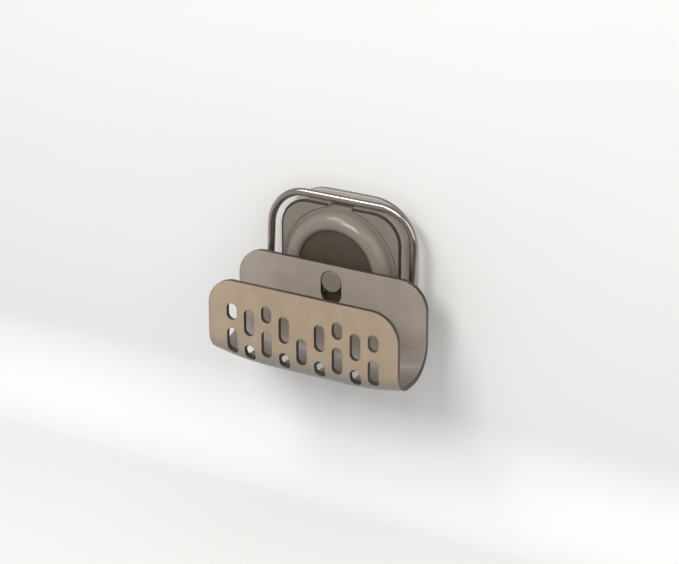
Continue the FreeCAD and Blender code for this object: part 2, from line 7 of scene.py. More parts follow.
import json
import math

import bmesh
import bpy
from mathutils import Color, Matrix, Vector


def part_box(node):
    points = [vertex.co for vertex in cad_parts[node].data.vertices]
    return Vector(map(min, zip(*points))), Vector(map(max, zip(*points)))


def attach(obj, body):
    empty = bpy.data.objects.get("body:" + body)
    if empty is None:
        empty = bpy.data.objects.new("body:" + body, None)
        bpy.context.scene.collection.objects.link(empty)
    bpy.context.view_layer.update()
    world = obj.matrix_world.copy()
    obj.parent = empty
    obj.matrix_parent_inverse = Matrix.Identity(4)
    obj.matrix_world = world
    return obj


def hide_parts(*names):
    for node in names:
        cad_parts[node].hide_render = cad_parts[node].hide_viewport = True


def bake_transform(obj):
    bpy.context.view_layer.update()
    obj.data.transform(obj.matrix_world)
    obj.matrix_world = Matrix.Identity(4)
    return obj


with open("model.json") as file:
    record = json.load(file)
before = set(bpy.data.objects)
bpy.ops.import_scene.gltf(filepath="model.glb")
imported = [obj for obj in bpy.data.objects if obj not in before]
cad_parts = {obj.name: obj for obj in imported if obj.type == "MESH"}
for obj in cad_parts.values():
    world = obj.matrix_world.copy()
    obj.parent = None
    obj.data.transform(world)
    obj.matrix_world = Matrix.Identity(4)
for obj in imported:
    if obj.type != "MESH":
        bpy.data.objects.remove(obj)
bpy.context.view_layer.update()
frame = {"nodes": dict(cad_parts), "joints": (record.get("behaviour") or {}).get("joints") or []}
nodes = frame["nodes"]
scene = bpy.context.scene
scene.view_settings.view_transform = "Standard"

# %% [markdown]
# The camera comes first, because every later choice is judged through it. It stands a little more than a
# metre away, to the right of the holder and above it, with a long lens that keeps the trough's edges nearly
# parallel.

# %% Camera
CAMERA_PLACE = (0.5234, -0.9625, 0.4544)
CAMERA_TURN = math.radians(28.91)
CAMERA_RISE = math.radians(23.15)
CAMERA_LENS = 115.5

bpy.ops.object.select_all(action="DESELECT")
backward = Vector((
    math.sin(CAMERA_TURN) * math.cos(CAMERA_RISE),
    -math.cos(CAMERA_TURN) * math.cos(CAMERA_RISE),
    math.sin(CAMERA_RISE),
))
bpy.ops.object.camera_add(location=CAMERA_PLACE, rotation=backward.to_track_quat("Z", "Y").to_euler())
camera = bpy.context.object
camera.data.lens = CAMERA_LENS
scene.camera = camera
print("camera at", tuple(round(value, 3) for value in camera.location))

# %% [markdown]
# Modelling by hand is a few gestures over and over: take a piece, open its mesh, pick some of it by place,
# act, and close it again. Each gesture gets a short helper, so that later cells read like a list of moves.

# %% Take a piece and pick from it
def take(piece):
    """Makes one piece the only selected one, in object mode."""
    if bpy.context.object and bpy.context.object.mode == "EDIT":
        bpy.ops.object.mode_set(mode="OBJECT")
    bpy.ops.object.select_all(action="DESELECT")
    piece.select_set(True)
    bpy.context.view_layer.objects.active = piece


def new_piece(name):
    """Names the primitive that was just added and puts its place into its mesh."""
    piece = bpy.context.object
    piece.name = name
    piece.data.name = name
    bpy.ops.object.transform_apply(location=True, rotation=True, scale=True)
    return piece


def open_mesh(piece, kind="VERT"):
    """Opens a piece in edit mode with nothing selected."""
    take(piece)
    bpy.ops.object.mode_set(mode="EDIT")
    bpy.ops.mesh.select_mode(type=kind)
    bpy.ops.mesh.select_all(action="DESELECT")


def pick(piece, kind, wanted):
    """Selects the vertices, edges or faces whose middle is where the test wants it."""
    open_mesh(piece, kind)
    mesh = bmesh.from_edit_mesh(piece.data)
    groups = {"VERT": mesh.verts, "EDGE": mesh.edges, "FACE": mesh.faces}
    for part in groups[kind]:
        corners = [part] if kind == "VERT" else part.verts
        middle = sum((corner.co for corner in corners), Vector()) / len(corners)
        part.select = wanted(middle)
    mesh.select_flush_mode()
    bmesh.update_edit_mesh(piece.data)


print("ready to take and pick")

# %% Shape a piece and close it
SEAM = 1e-6
SMOOTH_ANGLE = math.radians(35)
SOFT_SEGMENTS = 3


def close_seams(piece):
    """Merges doubled vertices and turns every face outwards."""
    open_mesh(piece)
    bpy.ops.mesh.select_all(action="SELECT")
    bpy.ops.mesh.remove_doubles(threshold=SEAM)
    bpy.ops.mesh.normals_make_consistent(inside=False)
    bpy.ops.object.mode_set(mode="OBJECT")


def apply_modifier(piece, kind, **settings):
    """Adds a modifier, sets it and applies it."""
    take(piece)
    modifier = piece.modifiers.new(kind.lower(), kind)
    for name, value in settings.items():
        setattr(modifier, name, value)
    bpy.ops.object.modifier_apply(modifier=modifier.name)


def join_on(piece, other, operation="UNION"):
    """Joins another piece on, as one closed mesh, and throws the other away."""
    apply_modifier(piece, "BOOLEAN", operation=operation, solver="EXACT", object=other)
    bpy.data.objects.remove(other)


def cut_away(piece, cutter):
    """Takes the cutter's space out of a piece and throws the cutter away."""
    join_on(piece, cutter, "DIFFERENCE")


def soften(piece, width, segments=SOFT_SEGMENTS, **settings):
    """Rounds the sharp edges and shades the piece smooth, with flat faces kept flat."""
    apply_modifier(piece, "BEVEL", width=width, segments=segments, limit_method="ANGLE",
                   angle_limit=SMOOTH_ANGLE, **settings)
    bpy.ops.object.shade_smooth_by_angle(angle=SMOOTH_ANGLE)
    apply_modifier(piece, "WEIGHTED_NORMAL", keep_sharp=True)


def report(piece):
    """Prints how large a finished piece is."""
    print(piece.name, "has", len(piece.data.polygons), "faces")


print("ready to shape and close")

# %% [markdown]
# ## The trough
# The real trough is one moulded sheet that runs down the front, under, and up the back, and its floor curves
# up towards both open ends. Cutting slots into a curved solid would leave rough edges. A sheet-metal worker's
# way is cleaner: lay the wall out flat, punch the slots there, and then fold the flat sheet into the trough.

# %% Sizes of the trough
TRAY_DEPTH = 0.0347
TRAY_WALL = 0.0025
FRONT_STEP = 0.0058
TOP_CORNER = 0.016
FRONT_BEND = 0.013
FLOOR_FLAT = 0.0047
END_RISE = 0.0042
END_RISE_START = 0.022

tray_low, tray_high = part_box("tray")
half_length = tray_high.x
front_y = tray_low.y
back_y = front_y + TRAY_DEPTH
floor_z = tray_low.z
back_top = tray_high.z
front_top = back_top - FRONT_STEP
rear_bend = TRAY_DEPTH - FRONT_BEND - FLOOR_FLAT
rise_run = half_length - END_RISE_START
rise_radius = (rise_run ** 2 + END_RISE ** 2) / (2 * END_RISE)
print("trough", round(2 * half_length, 4), "long, rear bend", round(rear_bend, 4))

# %% [markdown]
# On the flat sheet a place is an x and a distance along the wall from the front's top edge. Folding turns it
# into a place in the room. Slots are drawn as they look from the front, so the way back is needed as well.

# %% Fold the sheet
front_run = front_top - floor_z - FRONT_BEND
back_run = back_top - floor_z - rear_bend
floor_start = front_run + FRONT_BEND * math.pi / 2
rear_start = floor_start + FLOOR_FLAT
back_start = rear_start + rear_bend * math.pi / 2
sheet_length = back_start + back_run


def rise(x):
    """How far the floor has curved up at this place along the trough."""
    run = max(0, abs(x) - END_RISE_START)
    return rise_radius - math.sqrt(rise_radius ** 2 - run ** 2)


def fold(x, along):
    """The place in the room of a point on the flat sheet."""
    low = floor_z + rise(x)
    if along < front_run:
        return Vector((x, front_y, front_top - along / front_run * (front_top - low - FRONT_BEND)))
    if along < floor_start:
        turn = (along - front_run) / FRONT_BEND
        return Vector((x, front_y + FRONT_BEND * (1 - math.cos(turn)),
                       low + FRONT_BEND * (1 - math.sin(turn))))
    if along < rear_start:
        return Vector((x, front_y + FRONT_BEND + along - floor_start, low))
    if along < back_start:
        turn = (along - rear_start) / rear_bend
        return Vector((x, back_y - rear_bend * (1 - math.sin(turn)),
                       low + rear_bend * (1 - math.cos(turn))))
    climb = (along - back_start) / back_run
    return Vector((x, back_y, low + rear_bend + climb * (back_top - low - rear_bend)))


print("the flat sheet is", round(sheet_length, 4), "long")

# %% Find a seen place on the flat sheet
def along_front(x, z):
    """The distance along the sheet of a point seen on the front wall."""
    bend_top = floor_z + rise(x) + FRONT_BEND
    if z > bend_top:
        return front_run * (front_top - z) / (front_top - bend_top)
    return front_run + FRONT_BEND * math.asin((bend_top - z) / FRONT_BEND)


def along_floor(x, y):
    """The distance along the sheet of a point seen from below."""
    if y < front_y + FRONT_BEND:
        return front_run + FRONT_BEND * math.acos(1 - (y - front_y) / FRONT_BEND)
    if y < back_y - rear_bend:
        return floor_start + y - front_y - FRONT_BEND
    return rear_start + rear_bend * math.asin((y - back_y + rear_bend) / rear_bend)


def along_back(x, z):
    """The distance along the sheet of a point seen on the back wall."""
    bend_top = floor_z + rise(x) + rear_bend
    return back_start + back_run * (z - bend_top) / (back_top - bend_top)


print("the floor's middle is", round(along_floor(0, (front_y + back_y) / 2), 4), "along the sheet")

# %% [markdown]
# The flat sheet is a grid whose columns follow the slots: eight cells across a slot and four across the web
# between two slots. A slot is a rectangle of cells that is deleted, and its border is then set on the slot's
# true outline, which has round ends. The same trick rounds the sheet's four corners.

# %% Grid lines of the sheet
SLOT_WIDTH = 0.0062
SLOT_PITCH = 0.01074
SLOT_COLUMNS = range(-4, 5)
SLOT_CELLS = 8
WEB_CELLS = 4
END_CELLS = 11
ROW_STEP = 0.00085

web = SLOT_PITCH - SLOT_WIDTH
slotted_half = SLOT_PITCH * len(SLOT_COLUMNS) / 2
pitch_cells = SLOT_CELLS + WEB_CELLS
column_count = pitch_cells * len(SLOT_COLUMNS) + 2 * END_CELLS
middle_column = column_count // 2
row_count = round(sheet_length / ROW_STEP)
row_step = sheet_length / row_count


def column_place(column):
    """The x of a grid line, finer on the slots than on the webs."""
    sign = 1 if column >= middle_column else -1
    steps = abs(column - middle_column)
    pitches, rest = divmod(steps, pitch_cells)
    if steps > middle_column - END_CELLS:
        margin = (half_length - slotted_half) / END_CELLS
        return sign * (half_length - margin * (middle_column - steps))
    in_slot = min(rest, SLOT_CELLS / 2) + max(0, rest - SLOT_CELLS / 2 - WEB_CELLS)
    in_web = min(max(0, rest - SLOT_CELLS / 2), WEB_CELLS)
    return sign * (pitches * SLOT_PITCH + in_slot * SLOT_WIDTH / SLOT_CELLS + in_web * web / WEB_CELLS)


def slot_column(column, side):
    """The grid line on one side of a slot's column."""
    return middle_column + column * pitch_cells + side * SLOT_CELLS // 2


print("grid of", column_count, "by", row_count, "cells")

# %% [markdown]
# A slot's outline is walked at an even pace from the middle of one end, so the grid's border vertices spread
# evenly round it, whatever the count of cells is.

# %% Outlines on the sheet
def slot_outline(distance, straight, radius):
    """A point on a round-ended slot: across it, and along it from its middle."""
    quarter = radius * math.pi / 2
    half = straight / 2
    if distance < quarter:
        turn = distance / radius
        return radius * math.sin(turn), -half - radius * math.cos(turn)
    distance -= quarter
    if distance < straight:
        return radius, distance - half
    distance -= straight
    if distance < 2 * quarter:
        turn = distance / radius
        return radius * math.cos(turn), half + radius * math.sin(turn)
    distance -= 2 * quarter
    if distance < straight:
        return -radius, half - distance
    turn = (distance - straight) / radius
    return -radius * math.cos(turn), -half - radius * math.sin(turn)


def border_cells(first_column, last_column, first_row, last_row):
    """The grid places round a rectangle of cells, from the middle of its first row."""
    middle = (first_column + last_column) // 2
    loop = [(column, first_row) for column in range(middle, last_column)]
    loop += [(last_column, row) for row in range(first_row, last_row)]
    loop += [(column, last_row) for column in range(last_column, first_column, -1)]
    loop += [(first_column, row) for row in range(last_row, first_row, -1)]
    return loop + [(column, first_row) for column in range(first_column, middle)]


square_border = border_cells(0, SLOT_CELLS, 0, SLOT_CELLS)
print("a square of", SLOT_CELLS, "by", SLOT_CELLS, "cells has", len(square_border), "border points")

# %% The sheet's own border
top_straight = half_length - TOP_CORNER
corner_arc = TOP_CORNER * math.pi / 2
end_start = along_front(half_length, front_top - TOP_CORNER)
end_run = along_back(half_length, back_top - TOP_CORNER) - end_start
half_border = 2 * (top_straight + corner_arc) + end_run


def sheet_border(distance):
    """A point on the right half of the sheet's border, from the middle of the front's top edge."""
    if distance < top_straight:
        return distance, 0
    distance -= top_straight
    if distance < corner_arc:
        turn = distance / TOP_CORNER
        x = top_straight + TOP_CORNER * math.sin(turn)
        return x, along_front(x, front_top - TOP_CORNER * (1 - math.cos(turn)))
    distance -= corner_arc
    if distance < end_run:
        return half_length, end_start + distance
    distance -= end_run
    if distance < corner_arc:
        turn = distance / TOP_CORNER
        x = top_straight + TOP_CORNER * math.cos(turn)
        return x, along_back(x, back_top - TOP_CORNER * (1 - math.sin(turn)))
    return top_straight + corner_arc - distance, sheet_length


print("half the sheet's border is", round(half_border, 4))

# %% [markdown]
# The slots alternate: long ones and short ones, staggered from column to column like laid bricks, and the
# same to the left and the right of the middle. Each slot's top is a share of the front wall's height. The
# floor has drain slots, and the back wall a long round pocket, high enough for the trough to be lifted off
# its key.

# %% List the openings
LONG_SLOT = 0.0153
SHORT_SLOT = 0.0096
LONG_TOP_SHARES = {0: 0.494, 1: 0.288, 2: 0.502, 3: 0.295, 4: 0.550}
SHORT_TOP_SHARES = {1: 0.707, 2: 0.213, 3: 0.709, 4: 0.263}
DRAIN_COLUMN_STEP = 2
KEY_HEIGHT = -0.005
KEY_HEAD = 0.006
KEY_CLEARANCE = 0.0003
LIFT = 0.0065
POCKET_CELLS = 14

pocket_radius = KEY_HEAD + KEY_CLEARANCE
entry_height = KEY_HEIGHT - LIFT
front_height = front_top - floor_z
openings = []


def add_opening(first_column, last_column, centre_x, radius, low, high, along):
    """Lists an opening that runs from one seen height or depth to another."""
    ends = (along(centre_x, low), along(centre_x, high))
    openings.append({
        "cells": (first_column, last_column, round(ends[0] / row_step), round(ends[1] / row_step)),
        "x": centre_x, "radius": radius, "low": low, "high": high, "along": along,
    })


for length, shares in ((LONG_SLOT, LONG_TOP_SHARES), (SHORT_SLOT, SHORT_TOP_SHARES)):
    for column in SLOT_COLUMNS:
        if abs(column) in shares:
            top = front_top - shares[abs(column)] * front_height
            add_opening(slot_column(column, -1), slot_column(column, 1), column * SLOT_PITCH, SLOT_WIDTH / 2,
                        top, top - length, along_front)

drain_middle = (front_y + back_y) / 2
for column in SLOT_COLUMNS[::DRAIN_COLUMN_STEP]:
    add_opening(slot_column(column, -1), slot_column(column, 1), column * SLOT_PITCH, SLOT_WIDTH / 2,
                drain_middle - LONG_SLOT / 2, drain_middle + LONG_SLOT / 2, along_floor)

add_opening(middle_column - POCKET_CELLS // 2, middle_column + POCKET_CELLS // 2, 0, pocket_radius,
            entry_height - pocket_radius, KEY_HEIGHT + pocket_radius, along_back)
print(len(openings), "openings in the sheet")

# %% [markdown]
# Now the sheet is made: a grid, its borders set on their outlines, the openings deleted, and everything
# between the borders relaxed until the cells flow round the slots. Only then is it folded.

# %% Lay the sheet out
bpy.ops.object.select_all(action="DESELECT")
bpy.ops.mesh.primitive_grid_add(x_subdivisions=column_count, y_subdivisions=row_count, size=2)
trough = new_piece("slotted_trough")
open_mesh(trough, "FACE")
sheet = bmesh.from_edit_mesh(trough.data)
grid = {}
for vertex in sheet.verts:
    place = (round((vertex.co.x + 1) / 2 * column_count), round((1 - vertex.co.y) / 2 * row_count))
    grid[place] = vertex
cell_of = {vertex: place for place, vertex in grid.items()}
for (column, row), vertex in grid.items():
    vertex.co = (column_place(column), -row * row_step, 0)
print("laid out", len(grid), "points")

# %% Round the sheet's corners
edge_cells = [(column, 0) for column in range(middle_column, column_count)]
edge_cells += [(column_count, row) for row in range(row_count)]
edge_cells += [(column, row_count) for column in range(column_count, middle_column - 1, -1)]
for step, (column, row) in enumerate(edge_cells):
    x, along = sheet_border(half_border * step / (len(edge_cells) - 1))
    grid[column, row].co = (x, -along, 0)
    grid[column_count - column, row].co = (-x, -along, 0)
print("set", len(edge_cells), "points of the right border")

# %% Punch the sheet
for opening in openings:
    first_column, last_column, first_row, last_row = opening["cells"]
    radius = opening["radius"]
    span = opening["high"] - opening["low"]
    straight = abs(span) - 2 * radius
    around = 2 * straight + 2 * math.pi * radius
    loop = border_cells(*opening["cells"])
    for step, place in enumerate(loop):
        across, forward = slot_outline(around * step / len(loop), straight, radius)
        x = opening["x"] + across
        seen = (opening["low"] + opening["high"]) / 2 + math.copysign(1, span) * forward
        grid[place].co = (x, -opening["along"](x, seen), 0)
    for face in sheet.faces:
        corners = [cell_of[vertex] for vertex in face.verts]
        in_columns = all(first_column <= column <= last_column for column, _ in corners)
        in_rows = all(first_row <= row <= last_row for _, row in corners)
        if in_columns and in_rows:
            face.select = True
bmesh.update_edit_mesh(trough.data)
bpy.ops.mesh.delete(type="FACE")
print("punched", len(openings), "openings")

# %% Relax and fold the sheet
RELAX_ROUNDS = 80
RELAX_SHARE = 0.5

bpy.ops.mesh.select_mode(type="VERT")
sheet = bmesh.from_edit_mesh(trough.data)
for vertex in sheet.verts:
    vertex.select = not vertex.is_boundary
bmesh.update_edit_mesh(trough.data)
bpy.ops.mesh.vertices_smooth(factor=RELAX_SHARE, repeat=RELAX_ROUNDS)
sheet = bmesh.from_edit_mesh(trough.data)
for vertex in sheet.verts:
    vertex.co = fold(vertex.co.x, -vertex.co.y)
bmesh.update_edit_mesh(trough.data)
close_seams(trough)
report(trough)

# %% [markdown]
# The folded sheet is the trough's outer face. Solidify grows the wall inwards and gives the new rims a second
# material slot, because smoky plastic looks darker where its cut edge shows. A small bevel softens every rim.

# %% Thicken the trough
EDGE_ROUND = 0.0005
RIM_SLOT = 1

front_face = min(trough.data.polygons, key=lambda face: face.center.y)
print("the front face looks along", tuple(round(value) for value in front_face.normal))
for _ in ("wall", "rim"):
    trough.data.materials.append(None)
apply_modifier(trough, "SOLIDIFY", thickness=TRAY_WALL, offset=-1, use_even_offset=True,
               material_offset_rim=RIM_SLOT)
soften(trough, EDGE_ROUND, material=RIM_SLOT)
report(trough)

# %% [markdown]
# Behind the back wall sits the hanger boss, a plate with a keyhole: the wide round end goes over the key's
# head, and the narrow upper slot then slides down onto its neck. A circle pulled apart into a long round
# makes the plate, and two cutters of the same kind make the keyhole, so their round ends line up.

# %% Hanger boss
KEY_NECK = 0.0035
BOSS_WALL = 0.0043
BOSS_ROUND = 0.0004
ROUND_COUNT = 64
CUT_OVERRUN = 0.002


def long_round(name, radius, low, top, back, front):
    """An upright plate with round ends, made from a circle whose upper half is pulled up."""
    bpy.ops.object.select_all(action="DESELECT")
    bpy.ops.mesh.primitive_circle_add(vertices=ROUND_COUNT, radius=radius, fill_type="NGON",
                                      location=(0, back, low + radius), rotation=(math.pi / 2, 0, 0))
    plate = new_piece(name)
    pick(plate, "VERT", lambda place: place.z > low + radius - SEAM)
    bpy.ops.transform.translate(value=(0, 0, top - low - 2 * radius))
    bpy.ops.mesh.select_all(action="SELECT")
    bpy.ops.mesh.extrude_region_move(TRANSFORM_OT_translate={"value": (0, front - back, 0)})
    close_seams(plate)
    return plate


boss_radius = KEY_NECK + BOSS_WALL
boss_low = (KEY_HEIGHT + entry_height) / 2 - boss_radius
boss = long_round("hanger_boss", boss_radius, boss_low, KEY_HEIGHT + boss_radius, tray_high.y, back_y)
cutter_back = tray_high.y + CUT_OVERRUN
cutter_front = back_y - CUT_OVERRUN
neck_half = KEY_NECK + KEY_CLEARANCE
for name, radius, height in (("entry", pocket_radius, entry_height), ("neck", neck_half, KEY_HEIGHT)):
    cutter = long_round(name, radius, entry_height - radius, height + radius, cutter_back, cutter_front)
    cut_away(boss, cutter)
soften(boss, BOSS_ROUND)
report(boss)

# %% [markdown]
# ## The wire lever
# The lever is one length of round steel wire. A bevelled curve would be quick, but its ends stay sharp. So
# the wire is a circle on a journey: it is extruded along straight runs and spun round the bends, and its tip
# is bevelled. Half of it is enough, because the other half is its mirror image. It is drawn upright at first
# and then leans back to the angle of the locked lever.

# %% Ways to lead the wire
WIRE_RADIUS = 0.0021
WIRE_SIDES = 24
TIP_PLACE = 0.0054
SIDE_PLACE = 0.0436
FOOT_BEND = 0.004
SHOULDER_BEND = 0.0202
LEVER_HEIGHT = 0.04375
LEVER_LEAN = 0.0036
FOOT_STEPS = 10
SHOULDER_STEPS = 24
RUN_STEPS = 6
TIP_ROUND = 0.0004
TIP_SEGMENTS = 3

lever_joint = next(joint for joint in frame["joints"] if joint["name"] == "lever_swing")
pivot = Vector(lever_joint["pos_m"])


def run_wire(step, count=1):
    """Extrudes the selected ring in equal short steps."""
    for _ in range(count):
        bpy.ops.mesh.extrude_edges_move(TRANSFORM_OT_translate={"value": Vector(step) / count})


def bend_wire(centre, steps):
    """Spins the selected ring a quarter turn round a centre, from outwards to upwards."""
    bpy.ops.mesh.spin(steps=steps, angle=math.pi / 2, center=centre, axis=(0, 1, 0))


print("the lever turns about", tuple(round(value, 5) for value in pivot))

# %% Bend the wire
bpy.ops.object.select_all(action="DESELECT")
bpy.ops.mesh.primitive_circle_add(vertices=WIRE_SIDES, radius=WIRE_RADIUS, location=(TIP_PLACE, 0, 0),
                                  rotation=(0, math.pi / 2, 0))
wire = new_piece("wire_lever")
open_mesh(wire, "EDGE")
bpy.ops.mesh.select_all(action="SELECT")
run_wire((SIDE_PLACE - FOOT_BEND - TIP_PLACE, 0, 0), RUN_STEPS)
bend_wire((SIDE_PLACE - FOOT_BEND, 0, FOOT_BEND), FOOT_STEPS)
run_wire((0, 0, LEVER_HEIGHT - SHOULDER_BEND - FOOT_BEND), RUN_STEPS)
bend_wire((SIDE_PLACE - SHOULDER_BEND, 0, LEVER_HEIGHT - SHOULDER_BEND), SHOULDER_STEPS)
run_wire((SHOULDER_BEND - SIDE_PLACE, 0, 0), RUN_STEPS)
pick(wire, "EDGE", lambda place: abs(place.x - TIP_PLACE) < SEAM)
bpy.ops.mesh.edge_face_add()
bpy.ops.mesh.bevel(offset=TIP_ROUND, segments=TIP_SEGMENTS)
apply_modifier(wire, "MIRROR", use_axis=(True, False, False), merge_threshold=SEAM)
wire.rotation_euler = (-math.asin(LEVER_LEAN / LEVER_HEIGHT), 0, 0)
wire.location = pivot
bpy.ops.object.transform_apply(location=True, rotation=True)
close_seams(wire)
bpy.ops.object.shade_smooth_by_angle(angle=SMOOTH_ANGLE)
report(wire)

# %% [markdown]
# ## The cover frame
# The frame is a squarish shell with a round mouth. It grows ring by ring: each ring is extruded from the last
# and set on its outline, so the wall, the rounded front edge, the flat face and the stepped mouth are one
# clean band of four-sided faces. The rings keep the same angles, so a square outline can turn into a circle.

# %% Outlines
def squarish(half_width, half_height, corner):
    """An outline with straight sides and round corners, met by a ray from the middle."""
    def place(turn):
        ray = Vector((abs(math.cos(turn)), abs(math.sin(turn))))
        centre = Vector((half_width - corner, half_height - corner))
        to_side = half_width / max(ray.x, SEAM)
        to_top = half_height / max(ray.y, SEAM)
        reach = min(to_side, to_top)
        met = ray * reach
        if met.x > centre.x and met.y > centre.y:
            nearest = ray.dot(centre)
            reach = nearest + math.sqrt(max(0, nearest ** 2 - centre.length_squared + corner ** 2))
        return reach * math.cos(turn), reach * math.sin(turn)
    return place


def circle(radius):
    """A round outline, met by a ray from the middle."""
    return lambda turn: (radius * math.cos(turn), radius * math.sin(turn))


def farther(first, second):
    """The outline that is the farther of two along each ray."""
    return lambda turn: max(first(turn), second(turn), key=lambda place: math.hypot(*place))


print("outlines ready")

# %% Rings
RING_COUNT = 192
ROUND_STEPS = 5


def first_ring(name, outline, y):
    """Starts a piece from one ring of vertices on an outline."""
    bpy.ops.object.select_all(action="DESELECT")
    bpy.ops.mesh.primitive_circle_add(vertices=RING_COUNT, radius=1, rotation=(math.pi / 2, 0, 0))
    piece = new_piece(name)
    open_mesh(piece, "EDGE")
    bpy.ops.mesh.select_all(action="SELECT")
    set_ring(piece, outline, y)
    return piece


def set_ring(piece, outline, y):
    """Sets the selected ring on an outline, each vertex along its own ray."""
    mesh = bmesh.from_edit_mesh(piece.data)
    for vertex in mesh.verts:
        if vertex.select:
            x, z = outline(math.atan2(vertex.co.z, vertex.co.x))
            vertex.co = (x, y, z)
    bmesh.update_edit_mesh(piece.data)


def next_ring(piece, outline, y):
    """Extrudes the selected ring and sets the new one on an outline."""
    bpy.ops.mesh.extrude_edges_move()
    set_ring(piece, outline, y)


def box_piece(low, high):
    """A plain box from its lowest to its highest corner, to cut with or to join on."""
    bpy.ops.object.select_all(action="DESELECT")
    low, high = Vector(low), Vector(high)
    bpy.ops.mesh.primitive_cube_add(size=1, location=(low + high) / 2, scale=high - low)
    return new_piece("box")


print("a ring has", RING_COUNT, "vertices")

# %% [markdown]
# The flat face has one ring more than its shape needs. It parts a thin band along the front edge from the
# rest, because the smoky plastic gathers into a dark line there. The notch at the top takes the wire when it
# is locked.

# %% Sizes of the cover frame
FRAME_CORNER = 0.017
FRAME_WALL = 0.0016
FRAME_EDGE = 0.001
FRAME_SOFT = 0.00018
EDGE_BAND = 0.00035
CAP_RIM = 0.03385
CAP_RIM_DEPTH = 0.0012
PARTING_GAP = 0.00015
LIP_WIDTH = 0.0024
LIP_DEPTH = 0.0013
MOUTH_EDGE = 0.0003
NOTCH_HALF = 0.007
NOTCH_DEPTH = 0.002
NOTCH_LENGTH = 0.0072
NOTCH_WALL = 0.0013
NOTCH_LOW = 0.0321
SLOT_CLEARANCE = 0.0004
FRAME_SLOT_START = 0.028
FINE_SEGMENTS = 2

frame_low, frame_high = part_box("cover_frame")
frame_half = (frame_high.x, frame_high.z)
frame_front = frame_low.y
frame_back = frame_high.y
rebate_radius = CAP_RIM + PARTING_GAP
rebate_floor = frame_front + CAP_RIM_DEPTH
lip_back = rebate_floor + LIP_DEPTH
notch_floor = frame_half[1] - NOTCH_DEPTH
notch_back = frame_front + NOTCH_LENGTH
lever_travel = -pivot.z * math.radians(lever_joint["range_deg"][1])
slot_half = WIRE_RADIUS + SLOT_CLEARANCE
slot_low = pivot.z - slot_half
slot_top = pivot.z + slot_half
slot_back = pivot.y + lever_travel + slot_half
print("the frame's mouth is", round(2 * rebate_radius, 4), "wide")
print("the stud travels", round(lever_travel, 5), "with the lever")

# %% Grow the cover frame
def frame_outline(inset):
    """The frame's outline, drawn in by an inset."""
    return squarish(frame_half[0] - inset, frame_half[1] - inset, FRAME_CORNER - inset)


mouth_line = circle(rebate_radius + MOUTH_EDGE)
band_line = farther(frame_outline(FRAME_EDGE + EDGE_BAND), mouth_line)
cover = first_ring("cover_shell", frame_outline(0), frame_back)
for step in range(ROUND_STEPS + 1):
    turn = math.pi / 2 * step / ROUND_STEPS
    next_ring(cover, frame_outline(FRAME_EDGE * (1 - math.cos(turn))),
              frame_front + FRAME_EDGE * (1 - math.sin(turn)))
next_ring(cover, band_line, frame_front)
next_ring(cover, mouth_line, frame_front)
next_ring(cover, circle(rebate_radius), frame_front + MOUTH_EDGE)
next_ring(cover, circle(rebate_radius), rebate_floor)
next_ring(cover, circle(CAP_RIM - LIP_WIDTH), rebate_floor)
next_ring(cover, circle(CAP_RIM - LIP_WIDTH), lip_back)
next_ring(cover, frame_outline(FRAME_WALL), lip_back)
next_ring(cover, frame_outline(FRAME_WALL), frame_back)
next_ring(cover, frame_outline(0), frame_back)
close_seams(cover)
report(cover)

# %% Cut the frame's notch and the wire's slots
def cut_wire_slots(piece, start, end, front, back):
    """Cuts a slot for the wire through both sides of a piece."""
    for side in (-1, 1):
        near, far = sorted((side * start, side * (end + CUT_OVERRUN)))
        cut_away(piece, box_piece((near, front, slot_low), (far, back, slot_top)))


in_wall = FRAME_WALL / 2
notch_side = NOTCH_HALF + NOTCH_WALL
join_on(cover, box_piece((-notch_side, lip_back - in_wall, NOTCH_LOW),
                         (notch_side, notch_back + NOTCH_WALL, frame_half[1] - in_wall)))
cut_away(cover, box_piece((-NOTCH_HALF, frame_front - CUT_OVERRUN, notch_floor),
                          (NOTCH_HALF, notch_back, frame_half[1] + CUT_OVERRUN)))
cut_wire_slots(cover, FRAME_SLOT_START, frame_half[0], frame_front - CUT_OVERRUN, slot_back)
soften(cover, FRAME_SOFT, segments=FINE_SEGMENTS)
report(cover)

# %% [markdown]
# ## The dome cap
# The cap is turned work: a round bead with a sunken middle and a flat rim that lies in the frame's mouth. A
# lathe piece needs only half of its section, drawn as a line. One vertex is extruded along the straight
# stretches and spun round the arcs, and the finished line is spun once round the axis.

# %% Lathe
LATHE_STEPS = 160


def start_line(name, radius, y):
    """A piece that is one vertex, ready to be drawn out into a line."""
    bpy.ops.object.select_all(action="DESELECT")
    bpy.ops.mesh.primitive_plane_add(location=(radius, y, 0))
    piece = new_piece(name)
    bpy.ops.object.mode_set(mode="EDIT")
    bpy.ops.mesh.select_mode(type="VERT")
    bpy.ops.mesh.select_all(action="SELECT")
    bpy.ops.mesh.merge(type="CENTER")
    return piece


def draw_to(piece, radius, y):
    """Extrudes the line's last vertex straight to a new place."""
    mesh = bmesh.from_edit_mesh(piece.data)
    last = next(vertex for vertex in mesh.verts if vertex.select)
    bpy.ops.mesh.extrude_region_move(TRANSFORM_OT_translate={"value": (radius - last.co.x, y - last.co.y, 0)})


def draw_arc(radius, y, turn, steps):
    """Spins the line's last vertex round a centre."""
    bpy.ops.mesh.spin(steps=steps, angle=turn, center=(radius, y, 0), axis=(0, 0, -1))


def turn_on_lathe(piece):
    """Spins the finished line once round the middle."""
    bpy.ops.mesh.select_all(action="SELECT")
    bpy.ops.mesh.spin(steps=LATHE_STEPS, angle=2 * math.pi, center=(0, 0, 0), axis=(0, 1, 0))
    close_seams(piece)


print("the lathe takes", LATHE_STEPS, "steps")

# %% Turn the cap
CAP_WALL = 0.0017
CAP_LAND = 0.002
RECESS_DEPTH = 0.0024
HANG_GAP = 0.0006
INNER_STEPS = 8
OUTER_STEPS = 16

